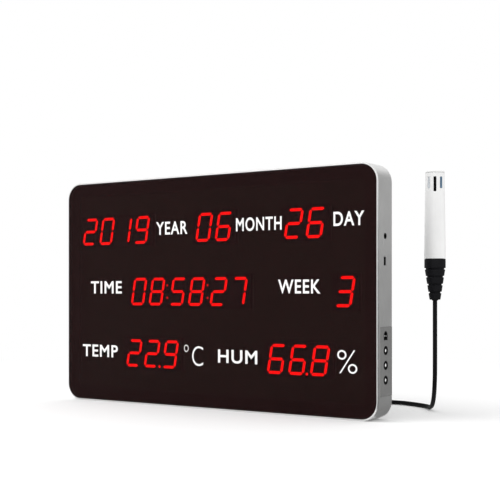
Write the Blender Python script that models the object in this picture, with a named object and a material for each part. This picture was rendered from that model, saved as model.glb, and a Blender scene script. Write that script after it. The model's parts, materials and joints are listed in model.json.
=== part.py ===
"""LED calendar clock with a temperature and humidity probe on its own lead.

Metres, +Z up. The origin is on the floor under the middle of the display's case. The face of the
display looks along -Y, and its keys and sockets are on the +X side.
"""
import math

import bmesh
import bpy
from mathutils import Matrix, Vector

MM = 0.001

# Case band
CASE_WIDTH = 390 * MM
CASE_HEIGHT = 240 * MM
CASE_DEPTH = 28 * MM
CASE_CORNER = 18 * MM
CASE_WALL = 2.0 * MM
RIM_WIDTH = 1.5 * MM
RIM_CHAMFER = 0.7 * MM
REAR_CHAMFER = 0.5 * MM
LEDGE_WIDTH = 15 * MM
LEDGE_THICK = 1.5 * MM

# Clearances between pieces
SEAT_GAP = 0.3 * MM
PANEL_GAP = 0.25 * MM
FIT_GAP = 0.3 * MM
THREAD_GAP = 0.15 * MM
POST_GAP = 0.5 * MM

# Front panel and the layers behind it
PANEL_THICK = 3.0 * MM
PANEL_RECESS = 0.2 * MM
TAPE_THICK = 0.4 * MM
TAPE_INSET = 1.0 * MM
REFLECTOR_DEPTH = 4.4 * MM
GUIDE_THICK = 1.1 * MM
BOARD_THICK = 1.6 * MM
BOARD_MARGIN = 2.0 * MM

# Rear cover, its posts, keyholes and vents
COVER_THICK = 1.2 * MM
COVER_RECESS = 2.0 * MM
POST_RADIUS = 3.5 * MM
POST_INSET = 11 * MM
KEYHOLE_SPACING = 220 * MM
KEYHOLE_HEIGHT = 196 * MM
KEYHOLE_HEAD = 10 * MM
KEYHOLE_NECK = 5 * MM
KEYHOLE_RISE = 11 * MM
VENT_COUNT = 7
VENT_PITCH = 8 * MM
VENT_WIDTH = 2.6 * MM
VENT_LENGTH = 34 * MM
VENT_HEIGHT = 62 * MM

# Screws
COVER_SCREW_SHANK = 2.4 * MM
COVER_SCREW_LENGTH = 8 * MM
COVER_SCREW_HEAD = 5.0 * MM
COVER_SCREW_HEAD_HEIGHT = 1.4 * MM
BOARD_SCREW_SHANK = 2.4 * MM
BOARD_SCREW_LENGTH = 5.0 * MM
BOARD_SCREW_HEAD = 4.8 * MM
BOARD_SCREW_HEAD_HEIGHT = 1.4 * MM
BOARD_SCREW_SPACING = 220 * MM
BOSS_RADIUS = 3.0 * MM
BOSS_INSET = 10 * MM
KEY_SCREW_SHANK = 1.8 * MM
KEY_SCREW_LENGTH = 6 * MM
KEY_SCREW_HEAD = 3.4 * MM
KEY_SCREW_HEAD_HEIGHT = 1.1 * MM
THREAD_RUN_OUT = 0.5 * MM

# Digits
DIGIT_HEIGHT = 29.5 * MM
DIGIT_WIDTH = 18.4 * MM
DIGIT_STROKE = 3.0 * MM
DIGIT_SLANT = math.radians(10)
DIGIT_PITCH = 24.7 * MM
SEGMENT_GAP = 0.35 * MM
COLON_SPACE = 3.3 * MM
COLON_DIAMETER = 2.6 * MM
COLON_RISE = 6.5 * MM
POINT_DIAMETER = 3.0 * MM
REFLECTOR_MARGIN = 2.5 * MM
ROW_PITCH = 65.9 * MM
YEAR_FROM_LEFT = 16.6 * MM
MONTH_FROM_MIDDLE = 5.7 * MM
DAY_FROM_RIGHT = 54.4 * MM
TIME_FROM_MIDDLE = -28.8 * MM
WEEK_FROM_RIGHT = 22.3 * MM
TEMPERATURE_FROM_MIDDLE = -75.7 * MM
HUMIDITY_FROM_RIGHT = 49.6 * MM

# Parts on the rear of the main board
CHIP_SIDE = 14 * MM
CHIP_THICK = 1.6 * MM
CHIP_X = 30 * MM
CELL_DIAMETER = 20 * MM
CELL_THICK = 3.2 * MM
CELL_X = -60 * MM
CELL_HOLDER_WALL = 1.4 * MM
CELL_HOLDER_FLOOR = 1.0 * MM
CELL_GAP = 0.3 * MM

# Sockets in the case wall
SOCKET_FROM_TOP = 68.5 * MM
SOCKET_LENGTH = 12 * MM
SOCKET_WIDTH = 6.4 * MM
SOCKET_THICK = 5.6 * MM
SOCKET_NOSE = 5.4 * MM
SOCKET_BORE = 3.7 * MM
SOCKET_END_WALL = 2.0 * MM
PORT_BELOW_SOCKET = 23.3 * MM
PORT_LENGTH = 7 * MM
PORT_WIDTH = 7.6 * MM
PORT_THICK = 3.9 * MM
PORT_SHELL = 0.4 * MM
PORT_TONGUE = 0.7 * MM
PORT_TONGUE_INSET = 1.6 * MM
WALL_SETBACK = 0.3 * MM
NOTCH_SETBACK = 0.2 * MM

# Control plate, keys and power inlet
PLATE_BOTTOM = 22.9 * MM
PLATE_FOOT_MARGIN = 15 * MM
PLATE_TOP_MARGIN = 8.2 * MM
PLATE_FLANGE = 2.0 * MM
PLATE_FLANGE_THICK = 1.5 * MM
PLATE_GAP = 0.1 * MM
KEY_COUNT = 3
KEY_PITCH = 13.75 * MM
KEY_CAP = 3.2 * MM
KEY_SUNK = 0.5 * MM
KEY_TRAVEL = 0.8 * MM
KEY_COLLAR = 5.6 * MM
KEY_COLLAR_THICK = 0.7 * MM
KEY_FOOT = 2.8 * MM
BEZEL_OUTER = 8.0 * MM
BEZEL_PROUD = 0.3 * MM
BEZEL_COLLAR = 9.6 * MM
BEZEL_COLLAR_THICK = 1.5 * MM
SWITCH_SIDE = 6 * MM
SWITCH_THICK = 3.0 * MM
SWITCH_WELL = 1.5 * MM
KEY_BOARD_THICK = 1.6 * MM
KEY_BOARD_MARGIN = 6.5 * MM
KEY_BOARD_SIDE_GAP = 1.5 * MM
KEY_POST = 4.2 * MM
KEY_POST_ASIDE = 5.0 * MM
JACK_WIDTH = 7.2 * MM
JACK_TALL = 7.8 * MM
JACK_BORE = 5.6 * MM
JACK_BORE_DEPTH = 9 * MM
JACK_BORE_DROP = 0.7 * MM
JACK_PIN = 2.0 * MM
JACK_PIN_SETBACK = 0.1 * MM
RIBBON_WIDTH = 10 * MM
RIBBON_THICK = 0.8 * MM
RIBBON_REACH = 9 * MM
RIBBON_START = 6 * MM

# Probe
PROBE_X = 204.6 * MM
PROBE_Y = 87.7 * MM
BOOT_BOTTOM = 112 * MM
BOOT_RIBS = 4
BOOT_RIB_PITCH = 7.8 * MM
BOOT_NOTCH = 1.4 * MM
BOOT_NOTCH_DEPTH = 1.1 * MM
BOOT_TIP = 10.6 * MM
BOOT_SHOULDER = 20.4 * MM
BOOT_COLLAR = 20.9 * MM
BOOT_COLLAR_HEIGHT = 9 * MM
BOOT_SPIGOT_HEIGHT = 6 * MM
SHELL_BOTTOM = 21.2 * MM
SHELL_TOP = 18.8 * MM
SHELL_HEIGHT = 84.5 * MM
SHELL_WALL = 1.8 * MM
SLOT_WIDTH = 2.8 * MM
SLOT_LENGTH = 14.6 * MM
SIDE_SLOT_WIDTH = 2.2 * MM
SIDE_SLOT_LENGTH = 11.5 * MM
SLOT_PITCH = 5.9 * MM
SLOT_CORNER = 0.4 * MM
SLOT_FROM_TOP = 4.0 * MM
SLOT_FACING = math.radians(-65.3)
CAP_THICK = 1.6 * MM
CAP_CHAMFER = 0.5 * MM
CAP_SPIGOT_HEIGHT = 2.5 * MM
PROBE_BOARD_WIDTH = 9.4 * MM
PROBE_BOARD_ASIDE = 2.4 * MM
PROBE_BOARD_THICK = 1.2 * MM
PROBE_BOARD_HEADROOM = 0.5 * MM
SENSOR_WIDTH = 4.6 * MM
SENSOR_HEIGHT = 15.6 * MM
SENSOR_THICK = 2.0 * MM
SENSOR_FROM_TOP = 0.2 * MM

# Lead: free stretch, coil, tie and plug
LEAD_DIAMETER = 4.4 * MM
COIL_X = 100 * MM
COIL_Y = 100 * MM
COIL_INNER = 16.4 * MM
COIL_STEP = 5.1 * MM
COIL_RISE = 5.0 * MM
COIL_TURNS = 3.75
COIL_FLOOR_GAP = 1.2 * MM
TIE_WIDTH = 3.0 * MM
TIE_THICK = 0.8 * MM
TIE_CORNER = 2.4 * MM
PLUG_BODY = 8.0 * MM
PLUG_BODY_LENGTH = 20 * MM
PLUG_NECK = 5.6 * MM
PLUG_NECK_LENGTH = 7 * MM
PLUG_SHAFT = 3.5 * MM
PLUG_SHAFT_LENGTH = 14 * MM
PLUG_EDGE = 0.5 * MM
PLUG_GROOVE = 0.45 * MM
PLUG_TIP_FLAT = 1.4 * MM
PLUG_FLOOR_GAP = 0.2 * MM
PLUG_FROM_COIL = 42 * MM
PLUG_ASIDE = 1.0 * MM
LEAD_FLOOR_GAP = 0.2 * MM

# Roundness: sides of a full round, and steps of a part of one
ROUND_SIDES = 14
PROBE_SIDES = 24
CELL_SIDES = 24
BEZEL_SIDES = 20
PLUG_SIDES = 20
SCREW_SIDES = 10
HOLE_SIDES = 10
PIN_SIDES = 10
DOT_SIDES = 8
CORNER_STEPS = 8
SLOT_END_STEPS = 2
KEYHOLE_STEPS = 12
KEYHOLE_NECK_STEPS = 4
INLET_STEPS = 12
RIBBON_STEPS = 8
TIE_CORNER_STEPS = 4
SLOT_END_RATIO = 0.47
LEAST_CORNER = 0.2 * MM
SHARP_ANGLE = math.radians(32)
MERGE_DISTANCE = 0.001 * MM

# Points along the lead
LOOP_POINTS = 24
LEAD_POINT_RATIO = 2.5
CURVE_STEPS = 16
NEXT_TURN_RATIO = 0.4
LEAD_BEVEL_STEPS = 2
COIL_BEVEL_STEPS = 1

# Depths of the layers, measured back from the front of the case
PANEL_BACK = PANEL_RECESS + PANEL_THICK
TAPE_FRONT = PANEL_BACK + SEAT_GAP
TAPE_BACK = TAPE_FRONT + TAPE_THICK
LEDGE_FRONT = TAPE_BACK + SEAT_GAP
LEDGE_BACK = LEDGE_FRONT + LEDGE_THICK
REFLECTOR_FRONT = PANEL_BACK + SEAT_GAP
REFLECTOR_BACK = REFLECTOR_FRONT + REFLECTOR_DEPTH
GUIDE_FRONT = REFLECTOR_BACK + SEAT_GAP
GUIDE_BACK = GUIDE_FRONT + GUIDE_THICK
BOARD_FRONT = max(GUIDE_BACK, LEDGE_BACK) + SEAT_GAP
BOARD_BACK = BOARD_FRONT + BOARD_THICK
BOARD_PART_FRONT = BOARD_BACK + SEAT_GAP
COVER_BACK = CASE_DEPTH - COVER_RECESS
COVER_FRONT = COVER_BACK - COVER_THICK
POST_END = COVER_FRONT - SEAT_GAP
BOSS_END = BOARD_FRONT - SEAT_GAP
NOTCH_FRONT = LEDGE_FRONT + NOTCH_SETBACK
KEY_LINE = (LEDGE_BACK + COVER_FRONT) / 2
KEY_POST_LINE = KEY_LINE + KEY_POST_ASIDE
SOCKET_LINE = BOARD_PART_FRONT + SOCKET_THICK / 2
PORT_LINE = BOARD_PART_FRONT + PORT_THICK / 2

# Places along X on the key side, from the outside in
WALL_OUTER = CASE_WIDTH / 2
WALL_INNER = WALL_OUTER - CASE_WALL
FLANGE_OUTER = WALL_INNER - FIT_GAP
FLANGE_INNER = FLANGE_OUTER - PLATE_FLANGE_THICK
BEZEL_COLLAR_OUTER = FLANGE_INNER - SEAT_GAP
BEZEL_INNER = BEZEL_COLLAR_OUTER - BEZEL_COLLAR_THICK
KEY_COLLAR_OUTER = BEZEL_INNER - SEAT_GAP
KEY_COLLAR_INNER = KEY_COLLAR_OUTER - KEY_COLLAR_THICK
SWITCH_OUTER = KEY_COLLAR_INNER - KEY_TRAVEL - SEAT_GAP
SWITCH_INNER = SWITCH_OUTER - SWITCH_THICK
KEY_BOARD_OUTER = SWITCH_INNER - SEAT_GAP
KEY_BOARD_INNER = KEY_BOARD_OUTER - KEY_BOARD_THICK
KEY_SCREW_SEAT = KEY_BOARD_INNER - SEAT_GAP
KEY_UNIT_INNER = KEY_SCREW_SEAT - KEY_SCREW_HEAD_HEIGHT - POST_GAP
BOARD_EDGE = WALL_INNER - BOARD_MARGIN
SOCKET_OUTER = WALL_OUTER - WALL_SETBACK

# Heights on the key side
SOCKET_HEIGHT = CASE_HEIGHT - SOCKET_FROM_TOP
PORT_HEIGHT = SOCKET_HEIGHT - PORT_BELOW_SOCKET
LOWEST_KEY = PLATE_BOTTOM + PLATE_FOOT_MARGIN
KEY_HEIGHTS = [LOWEST_KEY + KEY_PITCH * place for place in range(KEY_COUNT)]
JACK_HEIGHT = LOWEST_KEY + KEY_PITCH * KEY_COUNT
PLATE_TOP = JACK_HEIGHT + PLATE_TOP_MARGIN
KEY_POST_HEIGHTS = [LOWEST_KEY + KEY_PITCH / 2, JACK_HEIGHT - KEY_PITCH / 2]

# Heights on the probe
BOOT_TOP = BOOT_BOTTOM + BOOT_RIBS * BOOT_RIB_PITCH + BOOT_COLLAR_HEIGHT
SPIGOT_TOP = BOOT_TOP + BOOT_SPIGOT_HEIGHT
SHELL_BASE = BOOT_TOP + SEAT_GAP
SHELL_END = SHELL_BASE + SHELL_HEIGHT
CAP_BASE = SHELL_END + SEAT_GAP
PROBE_BOARD_BASE = SPIGOT_TOP + SEAT_GAP
PROBE_BOARD_END = CAP_BASE - CAP_SPIGOT_HEIGHT - PROBE_BOARD_HEADROOM

# Heights and radii on the coil
COIL_OUTER = COIL_INNER + COIL_STEP * COIL_TURNS
COIL_LOW = COIL_FLOOR_GAP + LEAD_DIAMETER / 2
COIL_HIGH = COIL_LOW + COIL_RISE
COIL_START = math.radians(90)
PLUG_AXIS_HEIGHT = PLUG_BODY / 2 + PLUG_FLOOR_GAP
PLUG_REAR_X = COIL_X - PLUG_FROM_COIL
PLUG_Y = COIL_Y + COIL_OUTER - PLUG_ASIDE


def depth_y(depth):
    """World Y of a depth measured back from the front of the case."""
    return depth - CASE_DEPTH / 2


def clear_scene():
    """Remove every object that the file starts with."""
    for item in list(bpy.data.objects):
        bpy.data.objects.remove(item, do_unlink=True)


def make_finish(name, colour, roughness, metallic=0.0):
    """A Principled material with the piece's own colour."""
    finish = bpy.data.materials.new(name)
    finish.use_nodes = True
    shader = finish.node_tree.nodes["Principled BSDF"]
    shader.inputs["Base Color"].default_value = (*colour, 1.0)
    shader.inputs["Roughness"].default_value = roughness
    shader.inputs["Metallic"].default_value = metallic
    return finish


def make_empty(name, location):
    """An empty that carries the pieces of one sub-assembly."""
    empty = bpy.data.objects.new(name, None)
    empty.location = location
    bpy.context.collection.objects.link(empty)
    return empty


def make_object(name, shape, finish, parent=None, location=(0, 0, 0), rotation=(0, 0, 0)):
    """Turn a bmesh into a named object with outward faces and smooth round sides."""
    bmesh.ops.recalc_face_normals(shape, faces=shape.faces)
    mesh = bpy.data.meshes.new(name)
    shape.to_mesh(mesh)
    shape.free()
    mesh.shade_smooth()
    mesh.set_sharp_from_angle(angle=SHARP_ANGLE)
    mesh.materials.append(finish)
    piece = bpy.data.objects.new(name, mesh)
    piece.parent = parent
    piece.location = location
    piece.rotation_euler = rotation
    bpy.context.collection.objects.link(piece)
    return piece


def apply_shape(piece, shape, operation, label, parent=None):
    """Add a Boolean with a hidden guide made from a bmesh."""
    bmesh.ops.recalc_face_normals(shape, faces=shape.faces)
    mesh = bpy.data.meshes.new(label)
    shape.to_mesh(mesh)
    shape.free()
    guide = bpy.data.objects.new(label, mesh)
    guide.parent = parent
    guide.hide_render = True
    guide.display_type = 'WIRE'
    bpy.context.collection.objects.link(guide)
    step = piece.modifiers.new(label, 'BOOLEAN')
    step.operation = operation
    step.solver = 'EXACT'
    step.object = guide


def add_box(shape, low, high):
    """Add a box between two corners."""
    low = Vector(low)
    high = Vector(high)
    place = Matrix.Translation((low + high) / 2) @ Matrix.Diagonal((*(high - low), 1.0))
    bmesh.ops.create_cube(shape, size=1.0, matrix=place)


def add_rod(shape, start, end, radius, sides=ROUND_SIDES):
    """Add a capped cylinder between two points."""
    start = Vector(start)
    end = Vector(end)
    run = end - start
    turn = run.to_track_quat('Z', 'Y').to_matrix().to_4x4()
    place = Matrix.Translation((start + end) / 2) @ turn
    bmesh.ops.create_cone(shape, cap_ends=True, segments=sides, radius1=radius, radius2=radius,
                          depth=run.length, matrix=place)


def add_prism(shape, outline, run):
    """Add the prism of a flat outline of 3D points pushed along a vector."""
    face = shape.faces.new([shape.verts.new(point) for point in outline])
    pushed = bmesh.ops.extrude_face_region(shape, geom=[face])
    moved = [item for item in pushed["geom"] if isinstance(item, bmesh.types.BMVert)]
    bmesh.ops.translate(shape, verts=moved, vec=run)


def add_turned(shape, profile, sides):
    """Spin a closed profile of (radius, height) points about Z.

    A profile that starts and ends on the axis makes a solid, and any other one a ring.
    """
    points = [shape.verts.new((radius, 0.0, height)) for radius, height in profile]
    edges = [shape.edges.new(pair) for pair in zip(points, points[1:])]
    on_axis = profile[0][0] == 0.0 and profile[-1][0] == 0.0
    if not on_axis:
        edges.append(shape.edges.new((points[-1], points[0])))
    bmesh.ops.spin(shape, geom=points + edges, cent=(0, 0, 0), axis=(0, 0, 1), angle=2 * math.pi,
                   steps=sides, use_merge=True)
    bmesh.ops.remove_doubles(shape, verts=shape.verts, dist=MERGE_DISTANCE)


def add_stem(shape, place, length, radius, bore, bore_depth):
    """Add a round stem along +Y from a place, with a blind screw hole in its far end."""
    stem = bmesh.new()
    floor = length - bore_depth
    add_turned(stem, [(0.0, 0.0), (radius, 0.0), (radius, length), (bore, length), (bore, floor),
                      (0.0, floor)], ROUND_SIDES)
    bmesh.ops.recalc_face_normals(stem, faces=stem.faces)
    stem.transform(Matrix.Translation(place) @ Matrix.Rotation(-math.pi / 2, 4, 'X'))
    mesh = bpy.data.meshes.new("stem")
    stem.to_mesh(mesh)
    stem.free()
    shape.from_mesh(mesh)
    bpy.data.meshes.remove(mesh)


def rounded_outline(width, height, radius, steps=CORNER_STEPS):
    """Points (x, z) of a rounded rectangle about its middle, anticlockwise."""
    radius = max(radius, LEAST_CORNER)
    corners = ((1, -1, -90), (1, 1, 0), (-1, 1, 90), (-1, -1, 180))
    points = []
    for side, level, start in corners:
        for step in range(steps + 1):
            angle = math.radians(start + 90 * step / steps)
            points.append((side * (width / 2 - radius) + radius * math.cos(angle),
                           level * (height / 2 - radius) + radius * math.sin(angle)))
    return points


def slot_outline(width, length):
    """Points of an upright slot with round ends, about its middle."""
    return rounded_outline(width, length, width * SLOT_END_RATIO, SLOT_END_STEPS)


def case_outline(inset):
    """The case's own outline, drawn in by a distance."""
    return rounded_outline(CASE_WIDTH - 2 * inset, CASE_HEIGHT - 2 * inset, CASE_CORNER - inset)


def add_case_ring(shape, section):
    """Sweep a closed section of (inset, depth) points round the case's outline."""
    rings = []
    for inset, depth in section:
        rings.append([shape.verts.new((x, depth_y(depth), z + CASE_HEIGHT / 2))
                      for x, z in case_outline(inset)])
    for ring, following in zip(rings, rings[1:] + rings[:1]):
        count = len(ring)
        for place in range(count):
            ahead = (place + 1) % count
            shape.faces.new((ring[place], ring[ahead], following[ahead], following[place]))


def add_case_plate(shape, inset, front, back):
    """Add a plate with the case's outline, drawn in, between two depths."""
    outline = [(x, depth_y(front), z + CASE_HEIGHT / 2) for x, z in case_outline(inset)]
    add_prism(shape, outline, Vector((0, back - front, 0)))


def screw_shape(shank, length, head, head_height):
    """A pan head screw along +Z, seated at z = 0, with a driver recess."""
    point = shank / 4
    edge = head_height * 0.55
    flat = head * 0.36
    recess = head * 0.2
    recess_floor = head_height * 0.35
    shape = bmesh.new()
    add_turned(shape, [
        (0.0, -length),
        (shank / 2, -length + point),
        (shank / 2, 0.0),
        (head / 2, 0.0),
        (head / 2, edge),
        (flat, head_height),
        (recess, head_height),
        (0.0, recess_floor),
    ], SCREW_SIDES)
    return shape


def corner_places():
    """Places (x, z) of the four cover posts."""
    across = CASE_WIDTH / 2 - POST_INSET
    return [(side * across, height) for side in (-1, 1)
            for height in (POST_INSET, CASE_HEIGHT - POST_INSET)]


def boss_places():
    """Places (x, z) of the four board bosses."""
    return [(side * BOARD_SCREW_SPACING / 2, height) for side in (-1, 1)
            for height in (BOSS_INSET, CASE_HEIGHT - BOSS_INSET)]


def build_case(display, finishes):
    """The silver band with its posts, and the panel, tape, cover and screws that it holds."""
    shape = bmesh.new()
    add_case_ring(shape, [
        (0.0, RIM_CHAMFER),
        (0.0, CASE_DEPTH - REAR_CHAMFER),
        (REAR_CHAMFER, CASE_DEPTH),
        (CASE_WALL, CASE_DEPTH),
        (CASE_WALL, LEDGE_BACK),
        (LEDGE_WIDTH, LEDGE_BACK),
        (LEDGE_WIDTH, LEDGE_FRONT),
        (RIM_WIDTH, LEDGE_FRONT),
        (RIM_WIDTH, 0.0),
        (RIM_CHAMFER, 0.0),
    ])
    frame = make_object("case_frame", shape, finishes["silver"], display)

    root = LEDGE_FRONT + LEDGE_THICK / 2
    stems = bmesh.new()
    for x, z in corner_places():
        add_stem(stems, (x, depth_y(root), z), POST_END - root, POST_RADIUS,
                 COVER_SCREW_SHANK / 2 + THREAD_GAP, COVER_SCREW_LENGTH)
    for x, z in boss_places():
        add_stem(stems, (x, depth_y(root), z), BOSS_END - root, BOSS_RADIUS,
                 BOARD_SCREW_SHANK / 2 + THREAD_GAP, BOARD_SCREW_LENGTH - BOARD_THICK)
    holes = bmesh.new()
    add_rod(holes, (WALL_INNER - CASE_WALL, depth_y(SOCKET_LINE), SOCKET_HEIGHT),
            (WALL_OUTER + CASE_WALL, depth_y(SOCKET_LINE), SOCKET_HEIGHT), SOCKET_NOSE / 2 + FIT_GAP)
    add_box(holes,
            (WALL_INNER - CASE_WALL, depth_y(PORT_LINE) - PORT_THICK / 2 - FIT_GAP,
             PORT_HEIGHT - PORT_WIDTH / 2 - FIT_GAP),
            (WALL_OUTER + CASE_WALL, depth_y(PORT_LINE) + PORT_THICK / 2 + FIT_GAP,
             PORT_HEIGHT + PORT_WIDTH / 2 + FIT_GAP))
    add_box(holes, (FLANGE_OUTER, depth_y(NOTCH_FRONT), PLATE_BOTTOM),
            (WALL_OUTER + CASE_WALL, depth_y(CASE_DEPTH + CASE_WALL), PLATE_TOP))
    apply_shape(frame, stems, 'UNION', "guide_stems", display)
    apply_shape(frame, holes, 'DIFFERENCE', "guide_case_holes", display)

    shape = bmesh.new()
    add_case_plate(shape, RIM_WIDTH + PANEL_GAP, PANEL_RECESS, PANEL_BACK)
    make_object("front_panel", shape, finishes["smoked"], display)

    shape = bmesh.new()
    tape_outer = RIM_WIDTH + PANEL_GAP + TAPE_INSET
    add_case_ring(shape, [(tape_outer, TAPE_FRONT), (tape_outer, TAPE_BACK),
                          (LEDGE_WIDTH, TAPE_BACK), (LEDGE_WIDTH, TAPE_FRONT)])
    make_object("panel_tape", shape, finishes["black_rubber"], display)

    build_cover(display, finishes)


def build_cover(display, finishes):
    """The recessed back with its keyholes, vents and four screws."""
    shape = bmesh.new()
    add_case_plate(shape, CASE_WALL + FIT_GAP, COVER_FRONT, COVER_BACK)
    cover = make_object("rear_cover", shape, finishes["back_paint"], display)
    front = depth_y(COVER_FRONT) - COVER_THICK
    back = depth_y(COVER_BACK) + COVER_THICK
    holes = bmesh.new()
    for x, z in corner_places():
        add_rod(holes, (x, front, z), (x, back, z), COVER_SCREW_SHANK / 2 + FIT_GAP, HOLE_SIDES)
    for side in (-1, 1):
        add_keyhole(holes, side * KEYHOLE_SPACING / 2, front, back)
        for place in range(VENT_COUNT):
            across = side * KEYHOLE_SPACING / 2 + (place - (VENT_COUNT - 1) / 2) * VENT_PITCH
            slot = slot_outline(VENT_WIDTH, VENT_LENGTH)
            outline = [(across + x, front, VENT_HEIGHT + z) for x, z in slot]
            add_prism(holes, outline, Vector((0, back - front, 0)))
    apply_shape(cover, holes, 'DIFFERENCE', "guide_cover_holes", display)

    for number, (x, z) in enumerate(corner_places(), 1):
        shape = screw_shape(COVER_SCREW_SHANK, COVER_SCREW_LENGTH, COVER_SCREW_HEAD,
                            COVER_SCREW_HEAD_HEIGHT)
        make_object(f"cover_screw_{number}", shape, finishes["steel"], display,
                    (x, depth_y(COVER_BACK) + SEAT_GAP, z), (-math.pi / 2, 0, 0))


def add_keyhole(shape, x, front, back):
    """Add one keyhole: a round for the screw's head with a narrow neck above it."""
    head = KEYHOLE_HEAD / 2
    neck = KEYHOLE_NECK / 2
    meet = math.acos(neck / head)
    points = []
    for step in range(KEYHOLE_STEPS + 1):
        angle = math.pi - meet + (math.pi + 2 * meet) * step / KEYHOLE_STEPS
        points.append((head * math.cos(angle), head * math.sin(angle)))
    for step in range(KEYHOLE_NECK_STEPS + 1):
        angle = math.pi * step / KEYHOLE_NECK_STEPS
        points.append((neck * math.cos(angle), KEYHOLE_RISE + neck * math.sin(angle)))
    outline = [(x + across, front, KEYHOLE_HEIGHT + rise) for across, rise in points]
    add_prism(shape, outline, Vector((0, back - front, 0)))


def digit_groups():
    """Name, row and digit centres (x) of each block of digits, with its dots (x, height)."""
    def run(middle, count):
        return [middle + (place - (count - 1) / 2) * DIGIT_PITCH for place in range(count)]

    def run_from_right(margin, count):
        last = CASE_WIDTH / 2 - margin - block_reach()
        return [last - place * DIGIT_PITCH for place in reversed(range(count))]

    first_year = YEAR_FROM_LEFT + block_reach() - CASE_WIDTH / 2
    pair_pitch = 2 * DIGIT_PITCH + COLON_SPACE
    time_digits = []
    for place in (-1, 0, 1):
        time_digits += run(TIME_FROM_MIDDLE + place * pair_pitch, 2)
    colons = [(TIME_FROM_MIDDLE + side * pair_pitch / 2, level * COLON_RISE)
              for side in (-1, 1) for level in (-1, 1)]
    low = -(DIGIT_HEIGHT - POINT_DIAMETER) / 2

    def point_after(digits):
        lean = low * math.tan(DIGIT_SLANT)
        return [((digits[1] + digits[2]) / 2 + lean, low)]

    temperature = run(TEMPERATURE_FROM_MIDDLE, 3)
    humidity = run_from_right(HUMIDITY_FROM_RIGHT, 3)
    return [
        ("year", 1, [first_year + place * DIGIT_PITCH for place in range(4)], []),
        ("month", 1, run(MONTH_FROM_MIDDLE, 2), []),
        ("day", 1, run_from_right(DAY_FROM_RIGHT, 2), []),
        ("time", 0, time_digits, colons),
        ("week", 0, run_from_right(WEEK_FROM_RIGHT, 1), []),
        ("temperature", -1, temperature, point_after(temperature)),
        ("humidity", -1, humidity, point_after(humidity)),
    ]


def block_reach():
    """Distance from the middle of an end digit to the side of its block."""
    return DIGIT_WIDTH / 2 + DIGIT_HEIGHT / 2 * math.tan(DIGIT_SLANT) + REFLECTOR_MARGIN


def segment_outlines():
    """The seven bars of one digit as slanted outlines (x, z) about its middle."""
    half_stroke = DIGIT_STROKE / 2
    across = (DIGIT_WIDTH - DIGIT_STROKE) / 2
    up = (DIGIT_HEIGHT - DIGIT_STROKE) / 2
    flat = across - SEGMENT_GAP
    tall = up / 2 - SEGMENT_GAP
    bars = []
    for level in (-1, 0, 1):
        bars.append([(x, level * up + z) for x, z in bar_outline(flat, half_stroke)])
    upright = bar_outline(tall, half_stroke)
    for side in (-1, 1):
        for level in (-1, 1):
            bars.append([(side * across + z, level * up / 2 - x) for x, z in upright])
    return [[(x + z * math.tan(DIGIT_SLANT), z) for x, z in bar] for bar in bars]


def bar_outline(half_length, half_stroke):
    """A flat bar with pointed ends, anticlockwise."""
    shoulder = half_length - half_stroke
    return [(-half_length, 0.0), (-shoulder, -half_stroke), (shoulder, -half_stroke),
            (half_length, 0.0), (shoulder, half_stroke), (-shoulder, half_stroke)]


def build_digits(display, finishes):
    """A black reflector with one opening for each bar, and a light guide behind it, for each block."""
    reach = block_reach()
    rise = DIGIT_HEIGHT / 2 + REFLECTOR_MARGIN
    front = depth_y(REFLECTOR_FRONT) - REFLECTOR_DEPTH
    through = Vector((0, 3 * REFLECTOR_DEPTH, 0))
    for name, row, digits, dots in digit_groups():
        middle = CASE_HEIGHT / 2 + row * ROW_PITCH
        left = digits[0] - reach
        right = digits[-1] + reach
        shape = bmesh.new()
        add_box(shape, (left, depth_y(REFLECTOR_FRONT), middle - rise),
                (right, depth_y(REFLECTOR_BACK), middle + rise))
        reflector = make_object(f"{name}_reflector", shape, finishes["black_plastic"], display)
        windows = bmesh.new()
        for digit in digits:
            for bar in segment_outlines():
                add_prism(windows, [(digit + x, front, middle + z) for x, z in bar], through)
        for x, z in dots:
            size = POINT_DIAMETER if len(dots) == 1 else COLON_DIAMETER
            add_rod(windows, (x, front, middle + z), (x, front + through.y, middle + z), size / 2,
                    DOT_SIDES)
        apply_shape(reflector, windows, 'DIFFERENCE', f"guide_{name}_windows", display)

        shape = bmesh.new()
        add_box(shape, (left, depth_y(GUIDE_FRONT), middle - rise),
                (right, depth_y(GUIDE_BACK), middle + rise))
        make_object(f"{name}_light_guide", shape, finishes["milky"], display)


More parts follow.
